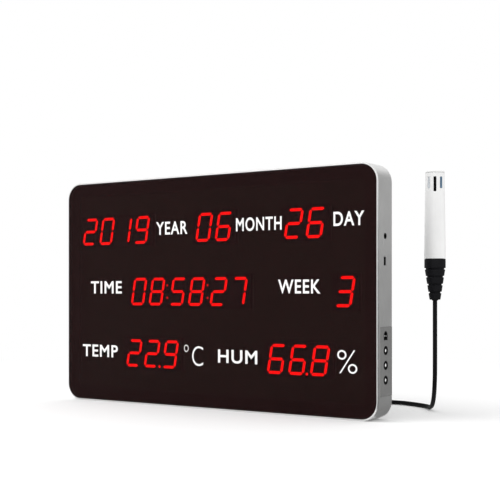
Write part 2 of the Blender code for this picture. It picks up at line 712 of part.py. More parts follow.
def build_board(display, finishes):
    """The main board with what is soldered to its rear."""
    shape = bmesh.new()
    add_case_plate(shape, CASE_WALL + BOARD_MARGIN, BOARD_FRONT, BOARD_BACK)
    board = make_object("main_board", shape, finishes["green_board"], display)
    front = depth_y(BOARD_FRONT) - BOARD_THICK
    back = depth_y(BOARD_BACK) + BOARD_THICK
    holes = bmesh.new()
    for x, z in corner_places():
        add_rod(holes, (x, front, z), (x, back, z), POST_RADIUS + POST_GAP)
    for x, z in boss_places():
        add_rod(holes, (x, front, z), (x, back, z), BOARD_SCREW_SHANK / 2 + FIT_GAP, HOLE_SIDES)
    add_box(holes, (KEY_UNIT_INNER, front, PLATE_BOTTOM - PLATE_FLANGE - POST_GAP),
            (WALL_OUTER, back, PLATE_TOP + PLATE_FLANGE + POST_GAP))
    apply_shape(board, holes, 'DIFFERENCE', "guide_board_holes", display)

    for number, (x, z) in enumerate(boss_places(), 1):
        shape = screw_shape(BOARD_SCREW_SHANK, BOARD_SCREW_LENGTH, BOARD_SCREW_HEAD,
                            BOARD_SCREW_HEAD_HEIGHT)
        make_object(f"board_screw_{number}", shape, finishes["steel"], display,
                    (x, depth_y(BOARD_PART_FRONT), z), (-math.pi / 2, 0, 0))

    shape = bmesh.new()
    half = CHIP_SIDE / 2
    add_box(shape, (-half, 0, -half), (half, CHIP_THICK, half))
    make_object("controller_chip", shape, finishes["black_plastic"], display,
                (CHIP_X, depth_y(BOARD_PART_FRONT), CASE_HEIGHT / 2))

    build_cell(display, finishes)
    build_socket(display, finishes)
    build_port(display, finishes)


def build_cell(display, finishes):
    """The coin cell that keeps the clock running, in its round holder."""
    inner = CELL_DIAMETER / 2 + CELL_GAP
    outer = inner + CELL_HOLDER_WALL
    seat = CELL_HOLDER_FLOOR + SEAT_GAP
    rim = seat + CELL_THICK
    place = (CELL_X, depth_y(BOARD_PART_FRONT), CASE_HEIGHT / 2)
    turn = (-math.pi / 2, 0, 0)
    shape = bmesh.new()
    add_turned(shape, [(0.0, 0.0), (outer, 0.0), (outer, rim), (inner, rim), (inner, CELL_HOLDER_FLOOR),
                       (0.0, CELL_HOLDER_FLOOR)], CELL_SIDES)
    make_object("cell_holder", shape, finishes["black_plastic"], display, place, turn)
    shape = bmesh.new()
    radius = CELL_DIAMETER / 2
    step = CELL_THICK / 4
    add_turned(shape, [(0.0, seat), (radius - step, seat), (radius, seat + step), (radius, rim),
                       (0.0, rim)], CELL_SIDES)
    make_object("coin_cell", shape, finishes["steel"], display, place, turn)


def build_socket(display, finishes):
    """The round socket for the probe's plug: a block on the board with a nose in the case wall."""
    low = BOARD_EDGE - SOCKET_LENGTH
    axis_y = depth_y(SOCKET_LINE)
    shape = bmesh.new()
    add_box(shape, (low, axis_y - SOCKET_THICK / 2, SOCKET_HEIGHT - SOCKET_WIDTH / 2),
            (BOARD_EDGE, axis_y + SOCKET_THICK / 2, SOCKET_HEIGHT + SOCKET_WIDTH / 2))
    socket = make_object("sensor_socket", shape, finishes["black_plastic"], display)
    nose = bmesh.new()
    add_rod(nose, (low + SOCKET_LENGTH / 2, axis_y, SOCKET_HEIGHT), (SOCKET_OUTER, axis_y, SOCKET_HEIGHT),
            SOCKET_NOSE / 2)
    apply_shape(socket, nose, 'UNION', "guide_socket_nose", display)
    bore = bmesh.new()
    add_rod(bore, (low + SOCKET_END_WALL, axis_y, SOCKET_HEIGHT),
            (WALL_OUTER + CASE_WALL, axis_y, SOCKET_HEIGHT), SOCKET_BORE / 2)
    apply_shape(socket, bore, 'DIFFERENCE', "guide_socket_bore", display)


def build_port(display, finishes):
    """The upright data port: a black shell with a flat tongue inside."""
    low = SOCKET_OUTER - PORT_LENGTH
    axis_y = depth_y(PORT_LINE)
    half_thick = PORT_THICK / 2
    half_width = PORT_WIDTH / 2
    shape = bmesh.new()
    add_box(shape, (low, axis_y - half_thick, PORT_HEIGHT - half_width),
            (SOCKET_OUTER, axis_y + half_thick, PORT_HEIGHT + half_width))
    port = make_object("data_port", shape, finishes["black_plastic"], display)
    mouth = bmesh.new()
    floor = low + 2 * PORT_SHELL
    add_box(mouth, (floor, axis_y - half_thick + PORT_SHELL, PORT_HEIGHT - half_width + PORT_SHELL),
            (SOCKET_OUTER + CASE_WALL, axis_y + half_thick - PORT_SHELL,
             PORT_HEIGHT + half_width - PORT_SHELL))
    apply_shape(port, mouth, 'DIFFERENCE', "guide_port_mouth", display)
    tongue = bmesh.new()
    tongue_half = half_width - PORT_TONGUE_INSET
    add_box(tongue, (low + PORT_SHELL, axis_y - PORT_TONGUE / 2, PORT_HEIGHT - tongue_half),
            (SOCKET_OUTER - PORT_TONGUE, axis_y + PORT_TONGUE / 2, PORT_HEIGHT + tongue_half))
    apply_shape(port, tongue, 'UNION', "guide_port_tongue", display)


def door_outline(x, grow):
    """The power inlet's face in the plane at x: square below, half round above, grown by a gap."""
    half = JACK_WIDTH / 2 + grow
    low = JACK_HEIGHT - JACK_TALL / 2 - grow
    middle = jack_round_height()
    points = [(x, depth_y(KEY_LINE) - half, low), (x, depth_y(KEY_LINE) + half, low)]
    for step in range(INLET_STEPS + 1):
        angle = math.pi * step / INLET_STEPS
        points.append((x, depth_y(KEY_LINE) + half * math.cos(angle), middle + half * math.sin(angle)))
    return points


def jack_round_height():
    """Height of the middle of the power inlet's round top."""
    return JACK_HEIGHT + JACK_TALL / 2 - JACK_WIDTH / 2


def build_controls(display, finishes):
    """The grey plate in the case wall with its power inlet, keys and key board."""
    outer_low = PLATE_BOTTOM + PLATE_GAP
    outer_high = PLATE_TOP - PLATE_GAP
    flange_front = depth_y(LEDGE_BACK + SEAT_GAP)
    flange_back = depth_y(COVER_FRONT - SEAT_GAP)
    shape = bmesh.new()
    add_box(shape, (WALL_INNER + FIT_GAP, depth_y(NOTCH_FRONT + PLATE_GAP), outer_low),
            (WALL_OUTER, depth_y(CASE_DEPTH - PLATE_GAP), outer_high))
    plate = make_object("control_plate", shape, finishes["grey_plastic"], display)
    flange = bmesh.new()
    add_box(flange, (FLANGE_INNER, flange_front, PLATE_BOTTOM - PLATE_FLANGE),
            (FLANGE_OUTER, flange_back, PLATE_TOP + PLATE_FLANGE))
    apply_shape(plate, flange, 'UNION', "guide_plate_flange", display)
    neck = bmesh.new()
    add_box(neck, ((FLANGE_INNER + FLANGE_OUTER) / 2, flange_front + SEAT_GAP, outer_low),
            (WALL_OUTER - CASE_WALL / 2, flange_back - SEAT_GAP, outer_high))
    apply_shape(plate, neck, 'UNION', "guide_plate_neck", display)
    stems = bmesh.new()
    holes = bmesh.new()
    line = depth_y(KEY_LINE)
    post_line = depth_y(KEY_POST_LINE)
    stem_root = FLANGE_INNER + PLATE_FLANGE_THICK / 2
    stem_end = KEY_BOARD_OUTER + SEAT_GAP
    for z in KEY_POST_HEIGHTS:
        add_rod(stems, (stem_root, post_line, z), (stem_end, post_line, z), KEY_POST / 2)
        add_rod(holes, (KEY_SCREW_SEAT + KEY_SCREW_LENGTH + THREAD_RUN_OUT, post_line, z),
                (stem_end - KEY_POST, post_line, z), KEY_SCREW_SHANK / 2 + THREAD_GAP, HOLE_SIDES)
    apply_shape(plate, stems, 'UNION', "guide_plate_stems", display)
    for z in KEY_HEIGHTS:
        add_rod(holes, (FLANGE_INNER - CASE_WALL, line, z), (WALL_OUTER + CASE_WALL, line, z),
                BEZEL_OUTER / 2 + FIT_GAP, BEZEL_SIDES)
    add_prism(holes, door_outline(FLANGE_INNER - CASE_WALL, FIT_GAP), Vector((4 * CASE_WALL, 0, 0)))
    apply_shape(plate, holes, 'DIFFERENCE', "guide_plate_holes", display)

    build_jack(display, finishes)
    build_keys(display, finishes)
    build_key_board(display, finishes)


def build_jack(display, finishes):
    """The power inlet and its contact pin."""
    line = depth_y(KEY_LINE)
    axis = jack_round_height() - JACK_BORE_DROP
    inner = KEY_BOARD_OUTER + SEAT_GAP
    floor = SOCKET_OUTER - JACK_BORE_DEPTH
    shape = bmesh.new()
    add_prism(shape, door_outline(inner, 0.0), Vector((SOCKET_OUTER - inner, 0, 0)))
    jack = make_object("dc_jack", shape, finishes["black_plastic"], display)
    bore = bmesh.new()
    add_rod(bore, (floor, line, axis), (WALL_OUTER + CASE_WALL, line, axis), JACK_BORE / 2)
    apply_shape(jack, bore, 'DIFFERENCE', "guide_jack_bore", display)
    shape = bmesh.new()
    length = JACK_BORE_DEPTH - SEAT_GAP - JACK_PIN_SETBACK
    radius = JACK_PIN / 2
    add_turned(shape, [(0.0, 0.0), (radius, 0.0), (radius, length - radius / 2), (radius / 2, length),
                       (0.0, length)], PIN_SIDES)
    make_object("dc_pin", shape, finishes["steel"], display, (floor + SEAT_GAP, line, axis),
                (0, math.pi / 2, 0))


def build_keys(display, finishes):
    """Three white keys, each sliding in a black bezel ring over a switch on the key board."""
    names = ("down", "set", "up")
    line = depth_y(KEY_LINE)
    bore = KEY_CAP / 2 + FIT_GAP
    along_x = (0, math.pi / 2, 0)
    for name, z in zip(names, KEY_HEIGHTS):
        top = WALL_OUTER + BEZEL_PROUD - KEY_SUNK - KEY_COLLAR_INNER
        foot = SWITCH_OUTER - KEY_COLLAR_INNER - SEAT_GAP
        cap = KEY_CAP / 2
        round_off = cap / 4
        shape = bmesh.new()
        add_turned(shape, [
            (0.0, foot),
            (KEY_FOOT / 2, foot),
            (KEY_FOOT / 2, 0.0),
            (KEY_COLLAR / 2, 0.0),
            (KEY_COLLAR / 2, KEY_COLLAR_THICK),
            (cap, KEY_COLLAR_THICK),
            (cap, top - round_off),
            (cap - round_off, top),
            (0.0, top),
        ], ROUND_SIDES)
        make_object(f"{name}_button", shape, finishes["white_plastic"], display,
                    (KEY_COLLAR_INNER, line, z), along_x)

        shape = bmesh.new()
        face = WALL_OUTER + BEZEL_PROUD - BEZEL_INNER
        edge = BEZEL_OUTER / 2
        add_turned(shape, [
            (bore, 0.0),
            (BEZEL_COLLAR / 2, 0.0),
            (BEZEL_COLLAR / 2, BEZEL_COLLAR_THICK),
            (edge, BEZEL_COLLAR_THICK),
            (edge, face - BEZEL_PROUD / 2),
            (edge - BEZEL_PROUD / 2, face),
            (bore, face),
        ], BEZEL_SIDES)
        make_object(f"{name}_bezel", shape, finishes["black_plastic"], display,
                    (BEZEL_INNER, line, z), along_x)

        shape = bmesh.new()
        half = SWITCH_SIDE / 2
        add_box(shape, (SWITCH_INNER, line - half, z - half), (SWITCH_OUTER, line + half, z + half))
        switch = make_object(f"{name}_switch", shape, finishes["black_plastic"], display)
        well = bmesh.new()
        add_rod(well, (SWITCH_OUTER - SWITCH_WELL, line, z), (SWITCH_OUTER + SWITCH_THICK, line, z),
                KEY_FOOT / 2 + FIT_GAP, HOLE_SIDES)
        apply_shape(switch, well, 'DIFFERENCE', f"guide_{name}_well", display)


def build_key_board(display, finishes):
    """The small board behind the keys, its two screws and its ribbon to the main board."""
    line = depth_y(KEY_POST_LINE)
    low = KEY_HEIGHTS[0] - KEY_BOARD_MARGIN
    high = JACK_HEIGHT + KEY_BOARD_MARGIN
    shape = bmesh.new()
    add_box(shape, (KEY_BOARD_INNER, depth_y(LEDGE_BACK + KEY_BOARD_SIDE_GAP), low),
            (KEY_BOARD_OUTER, depth_y(COVER_FRONT - KEY_BOARD_SIDE_GAP), high))
    board = make_object("key_board", shape, finishes["green_board"], display)
    holes = bmesh.new()
    for z in KEY_POST_HEIGHTS:
        add_rod(holes, (KEY_BOARD_INNER - KEY_BOARD_THICK, line, z),
                (KEY_BOARD_OUTER + KEY_BOARD_THICK, line, z), KEY_SCREW_SHANK / 2 + FIT_GAP, HOLE_SIDES)
    apply_shape(board, holes, 'DIFFERENCE', "guide_key_board_holes", display)
    for number, z in enumerate(KEY_POST_HEIGHTS, 1):
        shape = screw_shape(KEY_SCREW_SHANK, KEY_SCREW_LENGTH, KEY_SCREW_HEAD, KEY_SCREW_HEAD_HEIGHT)
        make_object(f"key_screw_{number}", shape, finishes["steel"], display,
                    (KEY_SCREW_SEAT, line, z), (0, -math.pi / 2, 0))

    start = (KEY_BOARD_INNER - SEAT_GAP, BOARD_PART_FRONT + RIBBON_START)
    upper = []
    lower = []
    for step in range(RIBBON_STEPS + 1):
        turn = math.pi / 2 * step / RIBBON_STEPS
        x = start[0] - RIBBON_REACH * math.sin(turn)
        depth = start[1] - RIBBON_START * (1 - math.cos(turn))
        slope = Vector((-RIBBON_REACH * math.cos(turn), -RIBBON_START * math.sin(turn))).normalized()
        side = Vector((-slope.y, slope.x)) * (RIBBON_THICK / 2)
        upper.append((x + side.x, depth_y(depth + side.y)))
        lower.append((x - side.x, depth_y(depth - side.y)))
    middle = KEY_HEIGHTS[1]
    outline = [(x, y, middle - RIBBON_WIDTH / 2) for x, y in upper + lower[::-1]]
    shape = bmesh.new()
    add_prism(shape, outline, Vector((0, 0, RIBBON_WIDTH)))
    make_object("key_ribbon", shape, finishes["grey_plastic"], display)


def build_probe(probe, finishes):
    """The slotted white sleeve, its cap, the sensor inside and the ribbed black boot."""
    base = SHELL_BOTTOM / 2
    tip = SHELL_TOP / 2
    shape = bmesh.new()
    add_turned(shape, [(base - SHELL_WALL, SHELL_BASE), (base, SHELL_BASE), (tip, SHELL_END),
                       (tip - SHELL_WALL, SHELL_END)], PROBE_SIDES)
    shell = make_object("probe_shell", shape, finishes["white_plastic"], probe)
    slots = bmesh.new()
    high = SHELL_END - SLOT_FROM_TOP
    for heading, aside, width, length in slot_places():
        turn = Matrix.Rotation(heading, 4, 'Z')
        outline = [turn @ Vector((0.0, aside + across, high - length / 2 + up))
                   for across, up in rounded_outline(width, length, SLOT_CORNER, SLOT_END_STEPS)]
        add_prism(slots, outline, turn @ Vector((2 * tip, 0, 0)))
    apply_shape(shell, slots, 'DIFFERENCE', "guide_probe_slots", probe)

    shape = bmesh.new()
    plug = tip - SHELL_WALL - FIT_GAP
    top = CAP_BASE + CAP_THICK
    add_turned(shape, [(0.0, CAP_BASE - CAP_SPIGOT_HEIGHT), (plug, CAP_BASE - CAP_SPIGOT_HEIGHT),
                       (plug, CAP_BASE), (tip, CAP_BASE), (tip, top - CAP_CHAMFER),
                       (tip - CAP_CHAMFER, top), (0.0, top)], PROBE_SIDES)
    make_object("probe_cap", shape, finishes["white_plastic"], probe)

    facing = (0, 0, SLOT_FACING + math.pi / 2)
    shape = bmesh.new()
    half = PROBE_BOARD_WIDTH / 2
    add_box(shape, (PROBE_BOARD_ASIDE - half, 0, PROBE_BOARD_BASE),
            (PROBE_BOARD_ASIDE + half, PROBE_BOARD_THICK, PROBE_BOARD_END))
    make_object("probe_board", shape, finishes["blue_board"], probe, rotation=facing)
    shape = bmesh.new()
    half = SENSOR_WIDTH / 2
    high = PROBE_BOARD_END - SENSOR_FROM_TOP
    add_box(shape, (-half, -SEAT_GAP - SENSOR_THICK, high - SENSOR_HEIGHT), (half, -SEAT_GAP, high))
    make_object("sensor_chip", shape, finishes["black_plastic"], probe, rotation=facing)

    shape = bmesh.new()
    add_turned(shape, boot_profile(), PROBE_SIDES)
    make_object("probe_boot", shape, finishes["black_rubber"], probe)


def slot_places():
    """Heading, place aside, width and length of each slot: three in front, two between them behind."""
    front = SLOT_FACING
    back = SLOT_FACING + math.pi
    return [
        (front, -SLOT_PITCH, SIDE_SLOT_WIDTH, SIDE_SLOT_LENGTH),
        (front, 0.0, SLOT_WIDTH, SLOT_LENGTH),
        (front, SLOT_PITCH, SIDE_SLOT_WIDTH, SIDE_SLOT_LENGTH),
        (back, -SLOT_PITCH / 2, SIDE_SLOT_WIDTH, SIDE_SLOT_LENGTH),
        (back, SLOT_PITCH / 2, SIDE_SLOT_WIDTH, SIDE_SLOT_LENGTH),
    ]


def boot_profile():
    """The boot's outer line (radius, height), from its tip up to the spigot in the sleeve."""
    ribs_height = BOOT_RIBS * BOOT_RIB_PITCH

    def cone(height):
        return (BOOT_TIP + (BOOT_SHOULDER - BOOT_TIP) * height / ribs_height) / 2

    points = [(0.0, BOOT_BOTTOM)]
    for rib in range(BOOT_RIBS):
        low = rib * BOOT_RIB_PITCH
        high = low + BOOT_RIB_PITCH - BOOT_NOTCH
        groove = cone(high) - BOOT_NOTCH_DEPTH
        points.append((cone(low), BOOT_BOTTOM + low))
        points.append((cone(high), BOOT_BOTTOM + high))
        points.append((groove, BOOT_BOTTOM + high))
        points.append((groove, BOOT_BOTTOM + low + BOOT_RIB_PITCH))
    spigot = SHELL_BOTTOM / 2 - SHELL_WALL - FIT_GAP
    taper = (SHELL_BOTTOM - SHELL_TOP) / 2 / SHELL_HEIGHT * BOOT_SPIGOT_HEIGHT
    points.append((BOOT_COLLAR / 2, BOOT_BOTTOM + ribs_height))
    points.append((BOOT_COLLAR / 2, BOOT_TOP))
    points.append((spigot, BOOT_TOP))
    points.append((spigot - taper, SPIGOT_TOP))
    points.append((0.0, SPIGOT_TOP))
    return points


def lead_route():
    """Route of the free stretch, chosen by hand: down from the boot, then back behind the display."""
    floor = LEAD_DIAMETER / 2 + LEAD_FLOOR_GAP
    coil_top = COIL_Y + COIL_OUTER
    return [
        Vector((PROBE_X, PROBE_Y, BOOT_BOTTOM - SEAT_GAP)),
        Vector((PROBE_X, PROBE_Y, 96 * MM)),
        Vector((PROBE_X, PROBE_Y, 74 * MM)),
        Vector((PROBE_X, PROBE_Y, 52 * MM)),
        Vector((PROBE_X - 0.4 * MM, PROBE_Y + 0.6 * MM, 36 * MM)),
        Vector((PROBE_X - 2.6 * MM, PROBE_Y + 3.8 * MM, 20 * MM)),
        Vector((PROBE_X - 7.4 * MM, PROBE_Y + 10.8 * MM, 8.4 * MM)),
        Vector((PROBE_X - 15 * MM, PROBE_Y + 21.6 * MM, floor + 0.8 * MM)),
        Vector((PROBE_X - 25 * MM, PROBE_Y + 33 * MM, floor)),
        Vector((PROBE_X - 40 * MM, PROBE_Y + 41.6 * MM, floor)),
        Vector((PROBE_X - 58 * MM, coil_top + 0.6 * MM, floor)),
        Vector((COIL_X + 30 * MM, coil_top, floor + 0.2 * MM)),
        Vector((COIL_X + 16 * MM, coil_top, COIL_LOW - 0.1 * MM)),
        Vector((COIL_X + LEAD_DIAMETER + SEAT_GAP, coil_top, COIL_LOW)),
    ]


def smooth_curve(route, spacing):
    """Read evenly spaced points from a smooth curve through the route's own points."""
    padded = [2 * route[0] - route[1]] + route + [2 * route[-1] - route[-2]]
    fine = []
    for before, start, end, after in zip(padded, padded[1:], padded[2:], padded[3:]):
        for step in range(CURVE_STEPS):
            t = step / CURVE_STEPS
            fine.append(0.5 * (2 * start + (end - before) * t
                               + (2 * before - 5 * start + 4 * end - after) * t ** 2
                               + (3 * start - before - 3 * end + after) * t ** 3))
    fine.append(route[-1])
    total = sum((b - a).length for a, b in zip(fine, fine[1:]))
    count = max(2, round(total / spacing))
    points = [fine[0]]
    walked = 0.0
    for a, b in zip(fine, fine[1:]):
        stretch = (b - a).length
        while len(points) < count and walked + stretch >= total * len(points) / count:
            share = (total * len(points) / count - walked) / stretch
            points.append(a.lerp(b, share))
        walked += stretch
    points.append(fine[-1])
    return points


def coil_points():
    """The put away length: in along the lower layer, up in half a turn, and out along the upper one."""
    centre = Vector((COIL_X, COIL_Y, 0))
    draw_in = COIL_STEP / (2 * math.pi)
    total_turns = 2 * COIL_TURNS + 0.5
    steps = round(total_turns * LOOP_POINTS)
    points = [Vector((COIL_X + LEAD_DIAMETER, COIL_Y + COIL_OUTER, COIL_LOW))]
    for step in range(steps + 1):
        turn = total_turns * step / steps
        if turn <= COIL_TURNS:
            radius = COIL_OUTER - COIL_STEP * turn
            height = COIL_LOW
        elif turn < COIL_TURNS + 0.5:
            share = (turn - COIL_TURNS) / 0.5
            radius = COIL_INNER - draw_in * math.sin(math.pi * share)
            height = COIL_LOW + COIL_RISE * (1 - math.cos(math.pi * share)) / 2
        else:
            radius = COIL_INNER + COIL_STEP * (turn - COIL_TURNS - 0.5)
            height = COIL_HIGH
        angle = COIL_START + 2 * math.pi * turn
        points.append(centre + Vector((radius * math.cos(angle), radius * math.sin(angle), height)))
    points += smooth_curve([points[-1]] + tail_route(), LEAD_POINT_RATIO * LEAD_DIAMETER)[1:]
    return points


def tail_route():
    """Route of the short tail from the coil down to the plug, chosen by hand."""
    top = COIL_Y + COIL_OUTER
    drop = COIL_HIGH - PLUG_AXIS_HEIGHT
    return [
        Vector((COIL_X - 10 * MM, top - 0.1 * MM, COIL_HIGH)),
        Vector((COIL_X - 21 * MM, top - 0.5 * MM, COIL_HIGH - drop * 0.4)),
        Vector((COIL_X - 31 * MM, top - 0.9 * MM, COIL_HIGH - drop * 0.9)),
        Vector((PLUG_REAR_X + LEAD_DIAMETER + SEAT_GAP, PLUG_Y, PLUG_AXIS_HEIGHT)),
        Vector((PLUG_REAR_X + SEAT_GAP, PLUG_Y, PLUG_AXIS_HEIGHT)),
    ]


def least_self_gap(points):
    """Least clear distance between stretches of the coil that aren't next to each other."""
    nearby = round(LOOP_POINTS * NEXT_TURN_RATIO)
    least = math.inf
    for first in range(len(points)):
        for second in range(first + nearby, len(points)):
            least = min(least, (points[first] - points[second]).length)
    return least - LEAD_DIAMETER


def make_tube(name, points, bevel, finish, parent):
    """A lead's tube along its points, with filled ends."""
    curve = bpy.data.curves.new(name, 'CURVE')
    curve.dimensions = '3D'
    curve.bevel_depth = LEAD_DIAMETER / 2
    curve.bevel_resolution = bevel
    curve.use_fill_caps = True
    curve.resolution_u = 1
    curve.render_resolution_u = 0
    spline = curve.splines.new('POLY')
    spline.points.add(len(points) - 1)
    for knot, point in zip(spline.points, points):
        knot.co = (*point, 1.0)
    curve.materials.append(finish)
    piece = bpy.data.objects.new(name, curve)
    piece.parent = parent
    bpy.context.collection.objects.link(piece)
    return piece


def build_lead(lead, finishes):
    """The free stretch, the coil with its tie, and the jack plug at the far end."""
    stretch = smooth_curve(lead_route(), LEAD_POINT_RATIO * LEAD_DIAMETER)
    make_tube("probe_lead", stretch, LEAD_BEVEL_STEPS, finishes["black_rubber"], lead)
    loops = coil_points()
    make_tube("lead_coil", loops, COIL_BEVEL_STEPS, finishes["black_rubber"], lead)
    print(f"lead_coil least gap to itself: {least_self_gap(loops) / MM:.2f} mm")

    build_tie(lead, finishes)

    along = (0, -math.pi / 2, 0)
    shape = bmesh.new()
    neck = PLUG_NECK / 2
    body = PLUG_BODY / 2
    end = PLUG_NECK_LENGTH + PLUG_BODY_LENGTH
    edge = PLUG_EDGE
    add_turned(shape, [(0.0, 0.0), (neck - edge, 0.0), (neck, PLUG_NECK_LENGTH),
                       (body - edge, PLUG_NECK_LENGTH), (body, PLUG_NECK_LENGTH + edge),
                       (body, end - edge), (body - edge, end), (0.0, end)], PLUG_SIDES)
    make_object("plug_body", shape, finishes["black_plastic"], lead,
                (PLUG_REAR_X, PLUG_Y, PLUG_AXIS_HEIGHT), along)
    shape = bmesh.new()
    shaft = PLUG_SHAFT / 2
    tip = PLUG_SHAFT_LENGTH
    widest = tip - PLUG_SHAFT * 0.6
    add_turned(shape, [(0.0, 0.0), (shaft, 0.0), (shaft, widest - shaft),
                       (shaft - PLUG_GROOVE, widest - shaft / 2), (shaft, widest),
                       (PLUG_TIP_FLAT / 2, tip), (0.0, tip)], ROUND_SIDES)
    make_object("plug_tip", shape, finishes["steel"], lead,
                (PLUG_REAR_X - end - SEAT_GAP, PLUG_Y, PLUG_AXIS_HEIGHT), along)


def build_tie(lead, finishes):
    """A flat tie round all the turns, on the side of the coil that faces the display."""
    inner = COIL_INNER - COIL_STEP / (2 * math.pi) - LEAD_DIAMETER / 2 - SEAT_GAP
    outer = COIL_OUTER + LEAD_DIAMETER / 2 + SEAT_GAP
    low = COIL_LOW - LEAD_DIAMETER / 2 - SEAT_GAP
    high = COIL_HIGH + LEAD_DIAMETER / 2 + SEAT_GAP
    middle_y = COIL_Y - (inner + outer) / 2
    middle_z = (low + high) / 2
    opening = rounded_outline(outer - inner, high - low, TIE_CORNER, TIE_CORNER_STEPS)
    band = rounded_outline(outer - inner + 2 * TIE_THICK, high - low + 2 * TIE_THICK,
                           TIE_CORNER + TIE_THICK, TIE_CORNER_STEPS)
    shape = bmesh.new()
    rings = []
    for outline, side in ((band, -1), (band, 1), (opening, 1), (opening, -1)):
        rings.append([shape.verts.new((COIL_X + side * TIE_WIDTH / 2, middle_y + y, middle_z + z))
                      for y, z in outline])
    for ring, following in zip(rings, rings[1:] + rings[:1]):
        count = len(ring)
        for place in range(count):
            ahead = (place + 1) % count
            shape.faces.new((ring[place], ring[ahead], following[ahead], following[place]))
    make_object("coil_tie", shape, finishes["black_plastic"], lead)


def make_finishes():
    """Every finish of the object, by plain name."""
    return {
        "silver": make_finish("silver_band", (0.75, 0.75, 0.745), 0.4, 0.95),
        "smoked": make_finish("smoked_acrylic", (0.018, 0.010, 0.009), 0.25),
        "back_paint": make_finish("back_paint", (0.05, 0.05, 0.052), 0.55),
        "black_plastic": make_finish("black_plastic", (0.012, 0.012, 0.013), 0.45),
        "black_rubber": make_finish("black_rubber", (0.012, 0.012, 0.014), 0.6),
        "grey_plastic": make_finish("grey_plastic", (0.18, 0.18, 0.18), 0.5),
        "white_plastic": make_finish("white_plastic", (0.88, 0.88, 0.875), 0.4),
        "milky": make_finish("milky_guide", (0.75, 0.70, 0.68), 0.5),
        "green_board": make_finish("green_board", (0.015, 0.10, 0.04), 0.45),
        "blue_board": make_finish("blue_board", (0.20, 0.33, 0.48), 0.45),
        "steel": make_finish("bright_steel", (0.62, 0.62, 0.62), 0.3, 1.0),
    }


def main():
    """Build the display, the probe and its lead."""
    clear_scene()
    finishes = make_finishes()
    display = make_empty("display", (0, 0, 0))
    probe = make_empty("probe", (PROBE_X, PROBE_Y, 0))
    lead = make_empty("lead", (0, 0, 0))
    build_case(display, finishes)
    build_digits(display, finishes)
    build_board(display, finishes)
    build_controls(display, finishes)
    build_probe(probe, finishes)
    build_lead(lead, finishes)


main()
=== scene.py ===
"""Looks of an LED calendar clock with a temperature and humidity probe on its own lead.

Metres, +Z up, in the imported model's own frame. The display's face looks along -Y, and its keys and
sockets are on the +X side.
"""

import json
import logging
import math
from abc import ABC, abstractmethod
from collections.abc import Callable, Iterable, Sequence
from dataclasses import dataclass, replace
from enum import Enum, IntEnum

import bmesh
import bpy
from bmesh.types import BMesh, BMVert
from bpy.types import ID, Material, Mesh, MeshPolygon, Node, NodeSocket, NodeTree, Object, World
from mathutils import Matrix, Vector

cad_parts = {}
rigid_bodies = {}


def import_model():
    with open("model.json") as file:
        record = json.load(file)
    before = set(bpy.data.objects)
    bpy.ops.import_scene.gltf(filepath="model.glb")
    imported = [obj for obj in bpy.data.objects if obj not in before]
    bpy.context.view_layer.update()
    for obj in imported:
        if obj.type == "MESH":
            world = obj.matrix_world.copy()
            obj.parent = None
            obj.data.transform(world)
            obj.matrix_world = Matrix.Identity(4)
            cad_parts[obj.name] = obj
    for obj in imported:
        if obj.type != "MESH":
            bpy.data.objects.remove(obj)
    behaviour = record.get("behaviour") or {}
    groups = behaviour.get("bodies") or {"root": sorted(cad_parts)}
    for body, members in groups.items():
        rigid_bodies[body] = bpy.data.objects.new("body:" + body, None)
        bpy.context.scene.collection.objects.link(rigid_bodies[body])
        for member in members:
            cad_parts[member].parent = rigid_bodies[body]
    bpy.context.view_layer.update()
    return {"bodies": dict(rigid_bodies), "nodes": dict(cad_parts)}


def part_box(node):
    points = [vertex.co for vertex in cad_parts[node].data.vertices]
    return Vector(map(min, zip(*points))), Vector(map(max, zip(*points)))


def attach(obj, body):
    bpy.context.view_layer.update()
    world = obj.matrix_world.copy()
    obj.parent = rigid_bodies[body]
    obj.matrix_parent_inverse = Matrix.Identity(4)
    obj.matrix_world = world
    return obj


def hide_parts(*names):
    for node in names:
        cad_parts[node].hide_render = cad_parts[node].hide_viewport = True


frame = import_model()

LOG = logging.getLogger("clock")
ROOT = "clock"
MM = 0.001
SHARP_ANGLE = math.radians(32)
MERGE_DISTANCE = 0.001 * MM
MOST_OF_HALF_A_SIDE = 0.48
NOISE_DETAIL = 3.0
NOISE_MIDDLE = (0.3, 0.7)
BEVEL_SAMPLES = 4
ROUND_SIDES = 48
WHITE = (1.0, 1.0, 1.0)
ALONG_X = Matrix.Rotation(math.pi / 2, 4, "Y")
ALONG_Y = Matrix.Rotation(-math.pi / 2, 4, "X")

Colour = tuple[float, float, float]
Point = tuple[float, float, float]
Outline = list[tuple[float, float]]
Profile = Callable[[float, float], Outline]
FaceTest = Callable[[MeshPolygon], bool]


def opaque(colour: Colour) -> tuple[float, float, float, float]:
    """The colour as a socket takes it, with full opacity."""
    return (*colour, 1.0)


